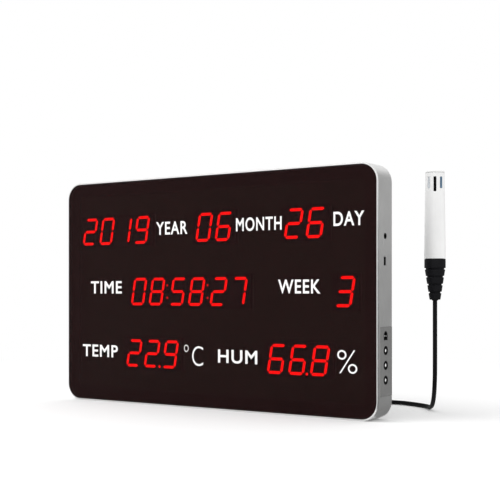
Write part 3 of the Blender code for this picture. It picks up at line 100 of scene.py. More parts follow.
class NodeSheet:
    """The node tree of a material or the world, with short ways to add and feed its nodes."""

    def __init__(self, owner: Material | World) -> None:
        """Open the owner's node tree."""
        owner.use_nodes = True
        self.tree = owner.node_tree

    def feed(self, node: Node, inputs: dict[str | int, object]) -> None:
        """Feed a node's inputs.

        Args:
            node: The node that is fed.
            inputs: What each input gets, another node's socket or a plain value.
        """
        for name, value in inputs.items():
            if isinstance(value, NodeSocket):
                self.tree.links.new(value, node.inputs[name])
            else:
                node.inputs[name].default_value = value

    def add(self, kind: str, inputs: dict[str | int, object] | None = None,
            **settings: object) -> Node:
        """Add one node.

        Args:
            kind: Blender's name of the node.
            inputs: What each input gets, another node's socket or a plain value.
            settings: The node's own settings.

        Returns:
            The new node.
        """
        node = self.tree.nodes.new(kind)
        for name, value in settings.items():
            setattr(node, name, value)
        self.feed(node, inputs or {})
        return node

    def show(self, shader: NodeSocket) -> None:
        """Join a shader to the material's output."""
        self.feed(self.tree.nodes["Material Output"], {"Surface": shader})

    def position(self) -> NodeSocket:
        """Where a point of the surface lies in the scene."""
        return self.add("ShaderNodeNewGeometry").outputs["Position"]

    def noise(self, place: NodeSocket, size: float) -> NodeSocket:
        """Soft noise whose features have about one size."""
        inputs = {"Vector": place, "Scale": 1.0 / size, "Detail": NOISE_DETAIL}
        return self.add("ShaderNodeTexNoise", inputs).outputs["Fac"]

    def ramp(self, value: NodeSocket, ends: tuple[float, float] = (0.0, 1.0),
             results: tuple[float, float] = (0.0, 1.0), **settings: object) -> NodeSocket:
        """Map one range of values onto another.

        Args:
            value: What is mapped.
            ends: The two ends of its range.
            results: What they become.
            settings: The node's own settings.

        Returns:
            The socket with the mapped value.
        """
        inputs = {"Value": value, "From Min": ends[0], "From Max": ends[1],
                  "To Min": results[0], "To Max": results[1]}
        return self.add("ShaderNodeMapRange", inputs, **settings).outputs["Result"]

    def highest(self, first: object, second: object) -> NodeSocket:
        """The larger of two values."""
        return self.add("ShaderNodeMath", {0: first, 1: second}, operation="MAXIMUM").outputs["Value"]

    def seen(self) -> NodeSocket:
        """Tell rays from the camera, or by way of gloss or glass, from other rays.

        Returns:
            The socket that is one for the first kind and zero for the others.
        """
        rays = self.add("ShaderNodeLightPath").outputs
        bent = self.highest(rays["Is Glossy Ray"], rays["Is Transmission Ray"])
        return self.highest(rays["Is Camera Ray"], bent)

    def mix(self, factor: NodeSocket, first: Colour, second: Colour) -> NodeSocket:
        """Mix two colours.

        Args:
            factor: Which share of the second colour each place gets.
            first: The colour at zero.
            second: The colour at one.

        Returns:
            The socket with the mixed colour.
        """
        node = self.add("ShaderNodeMix", {"Factor": factor}, data_type="RGBA")
        sockets = [socket for socket in node.inputs if socket.type == "RGBA"]
        for socket, colour in zip(sockets, (first, second)):
            socket.default_value = opaque(colour)
        return next(socket for socket in node.outputs if socket.type == "RGBA")


class Grain(Enum):
    """How far a surface's fine relief is drawn together along X, Y and Z."""

    EVEN = (1.0, 1.0, 1.0)
    ROUND_THE_BAND = (0.03, 1.0, 0.03)


@dataclass(frozen=True)
class Finish:
    """A surface's colour, gloss and fine relief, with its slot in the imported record."""

    name: str
    slot: str
    colour: Colour
    roughness: float
    metallic: float = 0.0
    specular: float = 0.5
    alpha: float = 1.0
    glow: float = 0.0
    grain: Grain = Grain.EVEN
    grain_size: float = 0.5 * MM
    grain_depth: float = 0.01 * MM
    patch_size: float = 22 * MM
    tone_spread: float = 0.05
    gloss_spread: float = 0.06
    edge: float = 0.15 * MM

    def make(self) -> Material:
        """Build the finish as a node material.

        Returns:
            The new material.
        """
        material = bpy.data.materials.new(self.name)
        sheet = NodeSheet(material)
        place = sheet.add("ShaderNodeTexCoord").outputs["Object"]
        drawn = sheet.add("ShaderNodeMapping", {"Vector": place, "Scale": self.grain.value})
        fine = sheet.noise(drawn.outputs["Vector"], self.grain_size)
        broad = sheet.ramp(sheet.noise(place, self.patch_size), NOISE_MIDDLE)
        darker = tuple(part * (1 - self.tone_spread) for part in self.colour)
        lighter = tuple(part * (1 + self.tone_spread) for part in self.colour)
        gloss = (self.roughness - self.gloss_spread, self.roughness + self.gloss_spread)
        rounded = sheet.add("ShaderNodeBevel", {"Radius": self.edge}, samples=BEVEL_SAMPLES)
        relief = sheet.add("ShaderNodeBump", {"Height": fine, "Distance": self.grain_depth,
                                              "Normal": rounded.outputs["Normal"]})
        inputs = {
            "Base Color": sheet.mix(broad, darker, lighter),
            "Roughness": sheet.ramp(fine, NOISE_MIDDLE, gloss),
            "Metallic": self.metallic,
            "Specular IOR Level": self.specular,
            "Alpha": self.alpha,
            "Normal": relief.outputs["Normal"],
        }
        if self.glow > 0:
            inputs |= {"Emission Color": opaque(self.colour), "Emission Strength": self.glow}
        sheet.feed(sheet.tree.nodes["Principled BSDF"], inputs)
        return material


SILVER = Finish("satin_silver", "silver_band", (0.75, 0.75, 0.744), 0.42, metallic=0.95,
                grain=Grain.ROUND_THE_BAND, grain_size=0.25 * MM, grain_depth=0.004 * MM,
                tone_spread=0.03)
POLISHED_RIM = Finish("polished_rim", "silver_band", (0.78, 0.78, 0.78), 0.24, metallic=1.0,
                      grain=Grain.ROUND_THE_BAND, grain_size=0.25 * MM, grain_depth=0.002 * MM,
                      tone_spread=0.02, edge=0.3 * MM)
SMOKED = Finish("smoked_acrylic", "smoked_acrylic", (0.0155, 0.0052, 0.0052), 0.34, specular=0.05,
                alpha=0.70, grain_size=6 * MM, grain_depth=0.001 * MM, tone_spread=0.06,
                gloss_spread=0.03, edge=0.25 * MM)
BACK_PAINT = Finish("back_paint", "back_paint", (0.045, 0.045, 0.047), 0.58, specular=0.35,
                    grain_size=0.7 * MM, grain_depth=0.05 * MM, patch_size=60 * MM)
BLACK_PLASTIC = Finish("black_moulding", "black_plastic", (0.0032, 0.0032, 0.0035), 0.55,
                       specular=0.07, grain_depth=0.015 * MM, tone_spread=0.15)
BLACK_RUBBER = Finish("black_rubber", "black_rubber", (0.0065, 0.0065, 0.0082), 0.62, specular=0.15,
                      grain_size=0.4 * MM, grain_depth=0.03 * MM, tone_spread=0.18, edge=0.35 * MM)
LEAD_JACKET = Finish("lead_jacket", "lead_jacket", (0.0055, 0.0052, 0.0058), 0.55, specular=0.12,
                     grain_size=0.8 * MM, grain_depth=0.004 * MM, tone_spread=0.10)
GREY_PLASTIC = Finish("grey_moulding", "grey_plastic", (0.178, 0.177, 0.175), 0.52,
                      grain_size=0.35 * MM, grain_depth=0.02 * MM)
WHITE_PLASTIC = Finish("white_moulding", "white_plastic", (0.88, 0.88, 0.875), 0.42,
                       grain_size=0.45 * MM, grain_depth=0.012 * MM, tone_spread=0.02, edge=0.3 * MM)
# A painted glow for the sleeve's inner faces, standing in for light that passes through the thin white
# wall.
WHITE_INSIDE_PAINTED_GLOW = replace(WHITE_PLASTIC, name="white_inside_painted_glow", glow=0.25)
MILKY = Finish("milky_guide", "milky_guide", (0.50, 0.46, 0.45), 0.5, tone_spread=0.08)
LIT_BAR = Finish("lit_bar", "milky_guide", (1.0, 0.0, 0.0), 0.5, glow=12.0, tone_spread=0.0)
LIT_DOT = replace(LIT_BAR, name="lit_dot", glow=6.5)
DARK_BAR = Finish("dark_bar", "milky_guide", (0.055, 0.018, 0.014), 0.5, tone_spread=0.10)
GREEN_BOARD = Finish("green_board", "green_board", (0.015, 0.10, 0.04), 0.42, patch_size=4 * MM,
                     tone_spread=0.2)
# The probe board's blue is made light so that it reads lit in the shade inside the sleeve: painted
# light.
BLUE_BOARD = Finish("blue_board", "blue_board", (0.20, 0.33, 0.48), 0.42, patch_size=3 * MM,
                    tone_spread=0.10)
STEEL = Finish("bright_steel", "steel", (0.62, 0.62, 0.62), 0.28, metallic=1.0, grain_size=0.3 * MM,
               grain_depth=0.006 * MM)
GOLD = Finish("contact_plating", "steel", (0.75, 0.52, 0.20), 0.25, metallic=1.0, grain_size=0.3 * MM)
WHITE_INK = Finish("white_ink", "white_plastic", (0.92, 0.92, 0.91), 0.6, specular=0.3,
                   grain_size=0.3 * MM, grain_depth=0.004 * MM, tone_spread=0.02, edge=0.02 * MM)


class Wardrobe:
    """Makes each finish once and puts it on pieces."""

    def __init__(self) -> None:
        """Start with no finish made and the shared softener."""
        self.made: dict[str, Material] = {}
        self.softener = self._make_softener()

    @staticmethod
    def _make_softener() -> NodeTree:
        """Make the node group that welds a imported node's facets and shades its round sides smooth.

        Returns:
            The node group.
        """
        tree = bpy.data.node_groups.new("soft_facets", "GeometryNodeTree")
        for side in ("INPUT", "OUTPUT"):
            tree.interface.new_socket("Geometry", in_out=side, socket_type="NodeSocketGeometry")
        nodes = tree.nodes
        start = nodes.new("NodeGroupInput")
        end = nodes.new("NodeGroupOutput")
        bare = nodes.new("GeometryNodeRemoveAttribute")
        bare.inputs["Name"].default_value = "custom_normal"
        weld = nodes.new("GeometryNodeMergeByDistance")
        weld.inputs["Distance"].default_value = MERGE_DISTANCE
        smooth = nodes.new("GeometryNodeSetShadeSmooth")
        crease = nodes.new("GeometryNodeSetShadeSmooth")
        crease.domain = "EDGE"
        crease.inputs["Shade Smooth"].default_value = False
        angle = nodes.new("GeometryNodeInputMeshEdgeAngle")
        steep = nodes.new("FunctionNodeCompare")
        steep.operation = "GREATER_THAN"
        steep.inputs[1].default_value = SHARP_ANGLE
        chain = (start, bare, weld, smooth, crease, end)
        for before, after in zip(chain, chain[1:]):
            tree.links.new(before.outputs[0], after.inputs[0])
        tree.links.new(angle.outputs["Unsigned Angle"], steep.inputs[0])
        tree.links.new(steep.outputs["Result"], crease.inputs["Selection"])
        return tree

    def material(self, finish: Finish) -> Material:
        """The finish's material, made the first time that it is asked for.

        Args:
            finish: The finish that is wanted.

        Returns:
            Its one material.
        """
        if finish.name not in self.made:
            self.made[finish.name] = finish.make()
        return self.made[finish.name]

    def dress_nodes(self, finish: Finish, *nodes: str) -> None:
        """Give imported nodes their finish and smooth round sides.

        Args:
            finish: What their surface is.
            nodes: The nodes' names.
        """
        for node in nodes:
            piece = frame["nodes"][node]
            piece.data.materials.clear()
            piece.data.materials.append(self.material(finish))
            piece.modifiers.new("soft_facets", "NODES").node_group = self.softener

    def accent_node(self, finish: Finish, node: str, chosen: FaceTest) -> None:
        """Give some faces of a dressed node a second finish.

        Args:
            finish: The second finish.
            node: The node's name.
            chosen: Says whether a face gets it.
        """
        mesh = frame["nodes"][node].data
        mesh.materials.append(self.material(finish))
        for face in mesh.polygons:
            face.material_index = int(chosen(face))

    def dress_piece(self, piece: Object, *finishes: Finish, body: str = ROOT,
                    instead_of: Sequence[str] = ()) -> Object:
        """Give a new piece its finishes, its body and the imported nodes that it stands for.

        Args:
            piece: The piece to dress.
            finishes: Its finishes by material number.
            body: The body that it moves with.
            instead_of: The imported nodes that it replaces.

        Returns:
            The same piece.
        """
        for finish in finishes:
            piece.data.materials.append(self.material(finish))
        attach(piece, body)
        if instead_of:
            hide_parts(*instead_of)
        return piece


def middle_of(node: str) -> Vector:
    """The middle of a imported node's box."""
    low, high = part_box(node)
    return (low + high) / 2


def turns(span: float, steps: int) -> list[float]:
    """Even angles from zero to a span, both ends among them."""
    return [span * step / steps for step in range(steps + 1)]


def quarter_round(middle: tuple[float, float], radius: float, steps: int) -> Outline:
    """A quarter circle from facing out to facing up."""
    across, up = middle
    return [(across + radius * math.cos(turn), up + radius * math.sin(turn))
            for turn in turns(math.pi / 2, steps)]


def link_piece(name: str, data: ID) -> Object:
    """Put a mesh, curve, lamp or camera into the scene as an object.

    Args:
        name: The object's name.
        data: What it shows.

    Returns:
        The new object.
    """
    piece = bpy.data.objects.new(name, data)
    bpy.context.scene.collection.objects.link(piece)
    return piece


def mesh_piece(name: str, shape: BMesh) -> Object:
    """Turn a bmesh into a smooth shaded object.

    Args:
        name: The piece's name.
        shape: Its shape, which is used up.

    Returns:
        The new object.
    """
    bmesh.ops.recalc_face_normals(shape, faces=shape.faces)
    mesh = bpy.data.meshes.new(name)
    shape.to_mesh(mesh)
    shape.free()
    mesh.shade_smooth()
    mesh.set_sharp_from_angle(angle=SHARP_ANGLE)
    return link_piece(name, mesh)


def turned_piece(name: str, line: Sequence[tuple[float, float]], place: Matrix,
                 sides: int = ROUND_SIDES) -> Object:
    """Spin a line of (radius, height) points about Z and put the solid in its place.

    Args:
        name: The piece's name.
        line: Points from one end to the other; a line that starts off the axis closes into a ring.
        place: Where the solid goes.
        sides: How many sides the round has.

    Returns:
        The new object.
    """
    shape = bmesh.new()
    points = [shape.verts.new((radius, 0.0, height)) for radius, height in line]
    edges = [shape.edges.new(pair) for pair in zip(points, points[1:])]
    if line[0][0] > 0.0:
        edges.append(shape.edges.new((points[-1], points[0])))
    bmesh.ops.spin(shape, geom=points + edges, cent=(0, 0, 0), axis=(0, 0, 1), angle=2 * math.pi,
                   steps=sides, use_merge=True)
    bmesh.ops.transform(shape, matrix=place, verts=shape.verts)
    bmesh.ops.remove_doubles(shape, verts=shape.verts, dist=MERGE_DISTANCE)
    return mesh_piece(name, shape)


def add_box(shape: BMesh, low: Vector, high: Vector) -> None:
    """Add a box between two corners."""
    place = Matrix.Translation((low + high) / 2) @ Matrix.Diagonal((*(high - low), 1.0))
    bmesh.ops.create_cube(shape, size=1.0, matrix=place)


def add_prism(shape: BMesh, outline: Sequence[Vector], run: Vector, part: int = 0) -> None:
    """Push a flat outline along a vector.

    Args:
        shape: The bmesh that gets the prism.
        outline: The corners of its first face.
        run: How far the last face lies from the first.
        part: The material number of its faces.
    """
    before = set(shape.faces)
    first = shape.faces.new([shape.verts.new(point) for point in outline])
    pushed = bmesh.ops.extrude_face_region(shape, geom=[first])
    moved = [item for item in pushed["geom"] if isinstance(item, BMVert)]
    bmesh.ops.translate(shape, verts=moved, vec=run)
    for face in set(shape.faces) - before:
        face.material_index = part


def rounded_corners(corners: Sequence[tuple[float, float]], radius: float, closed: bool = True,
                    steps: int = 4) -> Outline:
    """Round the corners of a flat line, each as far as its two sides allow.

    Args:
        corners: The line's sharp corners in order.
        radius: The radius of the rounds.
        closed: Whether the last corner runs on to the first; the ends of an open line stay sharp.
        steps: How many stretches each round has.

    Returns:
        The rounded line.
    """
    points: Outline = []
    for place, corner in enumerate(corners):
        if not closed and place in (0, len(corners) - 1):
            points.append(corner)
            continue
        here = Vector(corner)
        back = Vector(corners[place - 1]) - here
        ahead = Vector(corners[(place + 1) % len(corners)]) - here
        half = back.angle(ahead) / 2
        shorter = min(back.length, ahead.length)
        reach = min(radius / math.tan(half), MOST_OF_HALF_A_SIDE * shorter)
        size = reach * math.tan(half)
        bisector = (back.normalized() + ahead.normalized()).normalized()
        middle = here + bisector * (size / math.sin(half))
        start = here + back.normalized() * reach - middle
        end = here + ahead.normalized() * reach - middle
        for step in range(steps + 1):
            points.append(tuple(middle + start.lerp(end, step / steps).normalized() * size))
    return points


def evaluated_mesh(piece: Object) -> Mesh:
    """A new mesh of a piece as its modifiers or its letters make it."""
    graph = bpy.context.evaluated_depsgraph_get()
    return bpy.data.meshes.new_from_object(piece.evaluated_get(graph))


def carve(piece: Object, shape: BMesh) -> None:
    """Cut a shape out of a piece and keep only the result.

    Args:
        piece: The piece to cut.
        shape: The cutter, which is used up.
    """
    cutter = mesh_piece(f"{piece.name}_cutter", shape)
    step = piece.modifiers.new("cut", "BOOLEAN")
    step.operation = "DIFFERENCE"
    step.solver = "EXACT"
    step.object = cutter
    mesh = evaluated_mesh(piece)
    piece.modifiers.remove(step)
    piece.data = mesh
    bpy.data.objects.remove(cutter)
    mesh.set_sharp_from_angle(angle=SHARP_ANGLE)


@dataclass(frozen=True)
class PhotoCamera:
    """The camera at the photograph's viewing angle."""

    place: Point = (0.65675, -0.89213, 0.12023)
    tilt: float = math.radians(90)
    turn: float = math.radians(34.523)
    lens: float = 77.494
    sensor: float = 36.0
    rise: float = 0.0827

    def build(self) -> None:
        """Make the camera and look through it."""
        camera = bpy.data.cameras.new("photo_camera")
        camera.lens = self.lens
        camera.sensor_width = self.sensor
        camera.shift_y = self.rise
        piece = link_piece("photo_camera", camera)
        piece.location = self.place
        piece.rotation_euler = (self.tilt, 0.0, self.turn)
        bpy.context.scene.camera = piece


@dataclass(frozen=True)
class Lamp:
    """A soft round lamp, with its place, its width and its power in watts."""

    name: str
    place: Point
    size: float
    power: float

    def build(self, target: Vector) -> None:
        """Hang the lamp and turn it to face the object.

        Args:
            target: The point it faces.
        """
        light = bpy.data.lights.new(self.name, "AREA")
        light.shape = "DISK"
        light.size = self.size
        light.energy = self.power
        piece = link_piece(self.name, light)
        piece.location = self.place
        piece.rotation_euler = (target - piece.location).to_track_quat("-Z", "Y").to_euler()


@dataclass(frozen=True)
class Studio:
    """A pale floor that runs into a white background, with soft light from above."""

    floor_size: float = 60.0
    floor_colour: Colour = (0.96, 0.96, 0.96)
    floor_roughness: float = 0.9
    floor_lift: float = 0.06
    fade: tuple[float, float] = (0.40, 0.85)
    ambient: float = 0.98
    lamp: Lamp = Lamp("key_lamp", (-0.7, -0.95, 1.55), 1.3, 12.0)
    target: Point = (0.05, 0.0, 0.10)
    # The flats paint a grey reflection on the band's side and front edge, darker towards the floor;
    # only gloss sees them.
    flat_foot: Point = (0.186, 0.0, 0.001)
    flat_bearing: float = math.radians(62.7)
    flat_width: float = 1.0
    flat_reach: float = 0.5
    flat_rise: float = 0.135
    flat_height: float = 0.5
    side_painted_reflection_greys: tuple[float, float] = (0.205, 0.352)
    wing_end: Point = (0.72, -0.53, 0.001)
    wing_height: float = 0.28
    rim_painted_reflection_greys: tuple[float, float] = (0.12, 0.22)

    def build(self) -> None:
        """Make the world, the lamp, the floor and the grey flats that paint a darker reflection on the
        band.
        """
        self._build_world()
        self.lamp.build(Vector(self.target))
        self._build_floor()
        self._build_painted_reflections()
        bpy.context.scene.view_settings.view_transform = "Standard"

    def _build_world(self) -> None:
        """White for what is seen or mirrored, softer for what it lights."""
        world = bpy.data.worlds.new("white_studio")
        bpy.context.scene.world = world
        sheet = NodeSheet(world)
        strength = sheet.ramp(sheet.seen(), results=(self.ambient, 1.0))
        sheet.feed(sheet.tree.nodes["Background"], {"Color": opaque(WHITE), "Strength": strength})

    def _build_floor(self) -> None:
        """A plain floor that keeps a soft shadow near the object and fades to white away from it."""
        shape = bmesh.new()
        bmesh.ops.create_grid(shape, x_segments=1, y_segments=1, size=self.floor_size / 2)
        floor = mesh_piece("floor", shape)
        material = bpy.data.materials.new("pale_floor")
        sheet = NodeSheet(material)
        away = sheet.add("ShaderNodeVectorMath", {0: sheet.position()}, operation="LENGTH")
        fade = sheet.ramp(away.outputs["Value"], self.fade, interpolation_type="SMOOTHSTEP")
        lift = sheet.ramp(sheet.seen(), results=(0.0, self.floor_lift))
        white = sheet.add("ShaderNodeEmission")
        shader = sheet.tree.nodes["Principled BSDF"]
        sheet.feed(shader, {"Base Color": opaque(self.floor_colour), "Roughness": self.floor_roughness,
                            "Specular IOR Level": 0.0})
        layers = {0: sheet.highest(fade, lift), 1: shader.outputs["BSDF"], 2: white.outputs["Emission"]}
        sheet.show(sheet.add("ShaderNodeMixShader", layers).outputs["Shader"])
        floor.data.materials.append(material)

    def _build_painted_reflections(self) -> None:
        """Two grey flats beside the keys that only gloss sees: a painted reflection that darkens the
        band's side towards its foot and dims its slanting front edge.
        """
        up = Vector((0.0, 0.0, 1.0))
        foot = Vector(self.flat_foot)
        ahead = Vector((math.cos(self.flat_bearing), math.sin(self.flat_bearing), 0.0))
        side = up.cross(ahead) * self.flat_width / 2
        knee = foot + ahead * self.flat_reach + up * self.flat_rise
        head = knee + up * (self.flat_height - self.flat_rise)
        ramp = (foot - side, foot + side, knee + side, knee - side)
        back = (knee - side, knee + side, head + side, head - side)
        self._build_one_painted_reflection("side_painted_reflection", (ramp, back), self.side_painted_reflection_greys)
        start = knee - side - up * self.flat_rise
        end = Vector(self.wing_end)
        rise = up * self.wing_height
        wing = (start, start + rise, end + rise, end)
        ground = (foot, end, start)
        self._build_one_painted_reflection("rim_painted_reflection", (wing, ground), self.rim_painted_reflection_greys)

    def _build_one_painted_reflection(self, name: str, faces: Iterable[Sequence[Vector]],
                    greys: tuple[float, float]) -> None:
        """Make one flat that only gloss sees, a painted reflection that is darkest at the floor.

        Args:
            name: The flat's name.
            faces: The corners of each of its faces.
            greys: The painted reflection's grey at the floor, and at the ramp's upper edge and above.
        """
        shape = bmesh.new()
        for corners in faces:
            shape.faces.new([shape.verts.new(corner) for corner in corners])
        flat = mesh_piece(name, shape)
        material = bpy.data.materials.new(name)
        sheet = NodeSheet(material)
        height = sheet.add("ShaderNodeSeparateXYZ", {"Vector": sheet.position()}).outputs["Z"]
        # Painted reflection: the grey rises from the floor up to the ramp's upper edge.
        grey = sheet.ramp(height, (0.0, self.flat_rise), greys)
        sheet.show(sheet.add("ShaderNodeEmission", {"Strength": grey}).outputs["Emission"])
        flat.data.materials.append(material)
        flat.visible_camera = False
        flat.visible_diffuse = False
        flat.visible_transmission = False
        flat.visible_shadow = False


@dataclass
class SubAssembly(ABC):
    """Pieces that are dressed and built together, with the wardrobe that holds their finishes."""

    wardrobe: Wardrobe

    @abstractmethod
    def dress(self) -> None:
        """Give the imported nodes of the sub-assembly their finishes."""

    @abstractmethod
    def build(self) -> list[Object]:
        """Make the new pieces of the sub-assembly."""


@dataclass
class DisplayCase(SubAssembly):
    """The silver band with its panel, cover and board, and the screws in its back."""

    screw_count: int = 4
    recess_width: float = 0.55 * MM
    recess_length: float = 2.7 * MM
    recess_depth: float = 0.9 * MM
    shank_share: float = 0.48
    head_share: float = 0.56
    rim_share: float = 0.45
    crown_turn: float = math.radians(75)
    crown_steps: int = 5
    rim_depth: float = 0.9 * MM
    rim_slant: float = 0.9

    def dress(self) -> None:
        """Dress the case and its inside, with a bright cut on the band's slanting front edge."""
        self.wardrobe.dress_nodes(SILVER, "case_frame")
        self.wardrobe.dress_nodes(SMOKED, "front_panel")
        self.wardrobe.dress_nodes(BLACK_RUBBER, "panel_tape")
        self.wardrobe.dress_nodes(BACK_PAINT, "rear_cover")
        self.wardrobe.dress_nodes(GREEN_BOARD, "main_board")
        self.wardrobe.dress_nodes(STEEL, "coin_cell", *self._numbered("board_screw"))
        self.wardrobe.dress_nodes(BLACK_PLASTIC, "controller_chip", "cell_holder")
        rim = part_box("case_frame")[0].y + self.rim_depth

        def slants(face: MeshPolygon) -> bool:
            """Whether a face of the band belongs to its slanting front edge."""
            return face.center.y < rim and abs(face.normal.y) < self.rim_slant

        self.wardrobe.accent_node(POLISHED_RIM, "case_frame", slants)

    def build(self) -> list[Object]:
        """Make the cover's cross head screws."""
        return [self._build_screw(node) for node in self._numbered("cover_screw")]

    def _numbered(self, name: str) -> list[str]:
        """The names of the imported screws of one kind."""
        return [f"{name}_{number + 1}" for number in range(self.screw_count)]

    def _build_screw(self, node: str) -> Object:
        """Make a pan head screw with a cross recess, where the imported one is.

        Args:
            node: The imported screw.

        Returns:
            The new screw.
        """
        low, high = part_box(node)
        radius = (high.x - low.x) / 2
        shank = radius * self.shank_share
        head = radius * self.head_share
        length = high.y - low.y - head
        top = middle_of(node)
        top.y = high.y
        rim = head * self.rim_share
        crown = [(radius * math.cos(turn), rim + (head - rim) * math.sin(turn))
                 for turn in turns(self.crown_turn, self.crown_steps)]
        line = [(0.0, -length), (shank, shank / 2 - length), (shank, 0.0), (radius, 0.0), *crown,
                (0.0, head)]
        place = Matrix.Translation(top - Vector((0.0, head, 0.0))) @ ALONG_Y
        screw = turned_piece(f"{node}_cross", line, place)
        arms = ((self.recess_width, self.recess_length), (self.recess_length, self.recess_width))
        for across, along in arms:
            slot = bmesh.new()
            corner = Vector((across / 2, self.recess_depth, along / 2))
            add_box(slot, top - corner, top + corner)
            carve(screw, slot)
        return self.wardrobe.dress_piece(screw, STEEL, instead_of=(node,))


class Bar(Enum):
    """The seven bars of a digit, by where their middles lie across and up."""

    TOP = (0, 2)
    MIDDLE = (0, 0)
    FOOT = (0, -2)
    UPPER_LEFT = (-1, 1)
    UPPER_RIGHT = (1, 1)
    LOWER_LEFT = (-1, -1)
    LOWER_RIGHT = (1, -1)


RIGHT_BARS = {Bar.UPPER_RIGHT, Bar.LOWER_RIGHT}
LEVEL_BARS = {Bar.TOP, Bar.MIDDLE, Bar.FOOT}
LIT_BARS: dict[str, set[Bar]] = {
    "0": set(Bar) - {Bar.MIDDLE},
    "1": RIGHT_BARS,
    "2": LEVEL_BARS | {Bar.UPPER_RIGHT, Bar.LOWER_LEFT},
    "3": LEVEL_BARS | RIGHT_BARS,
    "4": RIGHT_BARS | {Bar.UPPER_LEFT, Bar.MIDDLE},
    "5": LEVEL_BARS | {Bar.UPPER_LEFT, Bar.LOWER_RIGHT},
    "6": set(Bar) - {Bar.UPPER_RIGHT},
    "7": RIGHT_BARS | {Bar.TOP},
    "8": set(Bar),
    "9": set(Bar) - {Bar.LOWER_LEFT},
}


class GuidePart(IntEnum):
    """The material numbers on a light guide."""

    PLATE = 0
    LIT = 1
    DARK = 2
    DOT = 3


@dataclass(frozen=True)
class DigitBlock:
    """One block of digits: the light guide behind its reflector, with a post in each window."""

    name: str
    reading: str
    height: float = 29.5 * MM
    width: float = 18.4 * MM
    stroke: float = 3.0 * MM
    lean: float = math.tan(math.radians(10))
    pitch: float = 24.7 * MM
    colon_space: float = 3.3 * MM
    colon_size: float = 2.6 * MM
    colon_rise: float = 6.5 * MM
    point_size: float = 3.0 * MM
    margin: float = 2.5 * MM
    bar_gap: float = 0.35 * MM
    window_gap: float = 0.1 * MM
    corner: float = 0.5 * MM
    recess: float = 0.05 * MM
    dot_sides: int = 24

    @property
    def reflector(self) -> str:
        """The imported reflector's name."""
        return f"{self.name}_reflector"

    @property
    def bar_across(self) -> float:
        """From the digit's middle to an upright bar's middle."""
        return (self.width - self.stroke) / 2

    @property
    def bar_up(self) -> float:
        """From the middle bar up to an upright bar's middle."""
        return (self.height - self.stroke) / 4

    def build(self, wardrobe: Wardrobe) -> Object:
        """Make the light guide with its lit and dark posts.

        Args:
            wardrobe: Where the finishes come from.

        Returns:
            The light guide.
        """
        plate = f"{self.name}_light_guide"
        low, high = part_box(plate)
        shape = bmesh.new()
        add_box(shape, low, high)
        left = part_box(self.reflector)[0]
        place = Vector((left.x + self.margin + self.width / 2 + self.height / 2 * self.lean,
                        left.y + self.recess, middle_of(self.reflector).z))
        depth = Vector((0.0, low.y - place.y, 0.0))
        for sign in self.reading:
            if sign == ":":
                place.x += self.colon_space
                self._add_colon(shape, place, depth)
            elif sign == ".":
                self._add_point(shape, place, depth)
            else:
                self._add_digit(shape, sign, place, depth)
                place.x += self.pitch
        guide = mesh_piece(f"{self.name}_bars", shape)
        return wardrobe.dress_piece(guide, MILKY, LIT_BAR, DARK_BAR, LIT_DOT, instead_of=(plate,))

    def _add_digit(self, shape: BMesh, sign: str, place: Vector, depth: Vector) -> None:
        """Add one digit's seven posts, lit where the sign needs them.

        Args:
            shape: The bmesh that gets the posts.
            sign: The digit to show.
            place: The middle of the digit's front.
            depth: How far the posts reach back.
        """
        for bar in Bar:
            side, level = bar.value
            points = []
            for x, z in self._bar(upright=side != 0):
                up = z + level * self.bar_up
                points.append(place + Vector((x + side * self.bar_across + up * self.lean, 0.0, up)))
            add_prism(shape, points, depth, GuidePart.LIT if bar in LIT_BARS[sign] else GuidePart.DARK)

    def _add_colon(self, shape: BMesh, place: Vector, depth: Vector) -> None:
        """Add the two dots of a colon.

        Args:
            shape: The bmesh that gets the posts.
            place: The middle of the front of the digit after it.
            depth: How far the posts reach back.
        """
        for rise in (-self.colon_rise, self.colon_rise):
            middle = place + Vector((-(self.pitch + self.colon_space) / 2, 0.0, rise))
            self._add_dot(shape, middle, self.colon_size, depth, GuidePart.DOT)

    def _add_point(self, shape: BMesh, place: Vector, depth: Vector) -> None:
        """Add a decimal point.

        Args:
            shape: The bmesh that gets the post.
            place: The middle of the front of the digit after it.
            depth: How far the post reaches back.
        """
        drop = (self.height - self.point_size) / 2
        middle = place - Vector((self.pitch / 2 + drop * self.lean, 0.0, drop))
        self._add_dot(shape, middle, self.point_size, depth, GuidePart.LIT)

    def _add_dot(self, shape: BMesh, middle: Vector, size: float, depth: Vector,
                 part: GuidePart) -> None:
        """Add one round post.

        Args:
            shape: The bmesh that gets the post.
            middle: The middle of the post's front.
            size: The diameter of its window.
            depth: How far it reaches back.
            part: Its material number.
        """
        radius = size / 2 - self.window_gap
        ring = [middle + Vector((radius * math.cos(turn), 0.0, radius * math.sin(turn)))
                for turn in turns(2 * math.pi, self.dot_sides)[:-1]]
        add_prism(shape, ring, depth, part)

    def _bar(self, upright: bool) -> Outline:
        """Draw a bar with pointed ends and rounded corners that fits its window.

        Args:
            upright: Whether the bar stands; otherwise it is level.

        Returns:
            The outline about the bar's middle.
        """
        half = self.stroke / 2 - self.window_gap
        reach = self.bar_up if upright else self.bar_across
        tip = reach - self.bar_gap - self.window_gap * math.sqrt(2)
        shoulder = tip - half
        corners = [(-tip, 0.0), (-shoulder, -half), (shoulder, -half), (tip, 0.0), (shoulder, half),
                   (-shoulder, half)]
        outline = rounded_corners(corners, self.corner)
        return [(z, -x) for x, z in outline] if upright else outline


UNIT_BOLD = -0.012


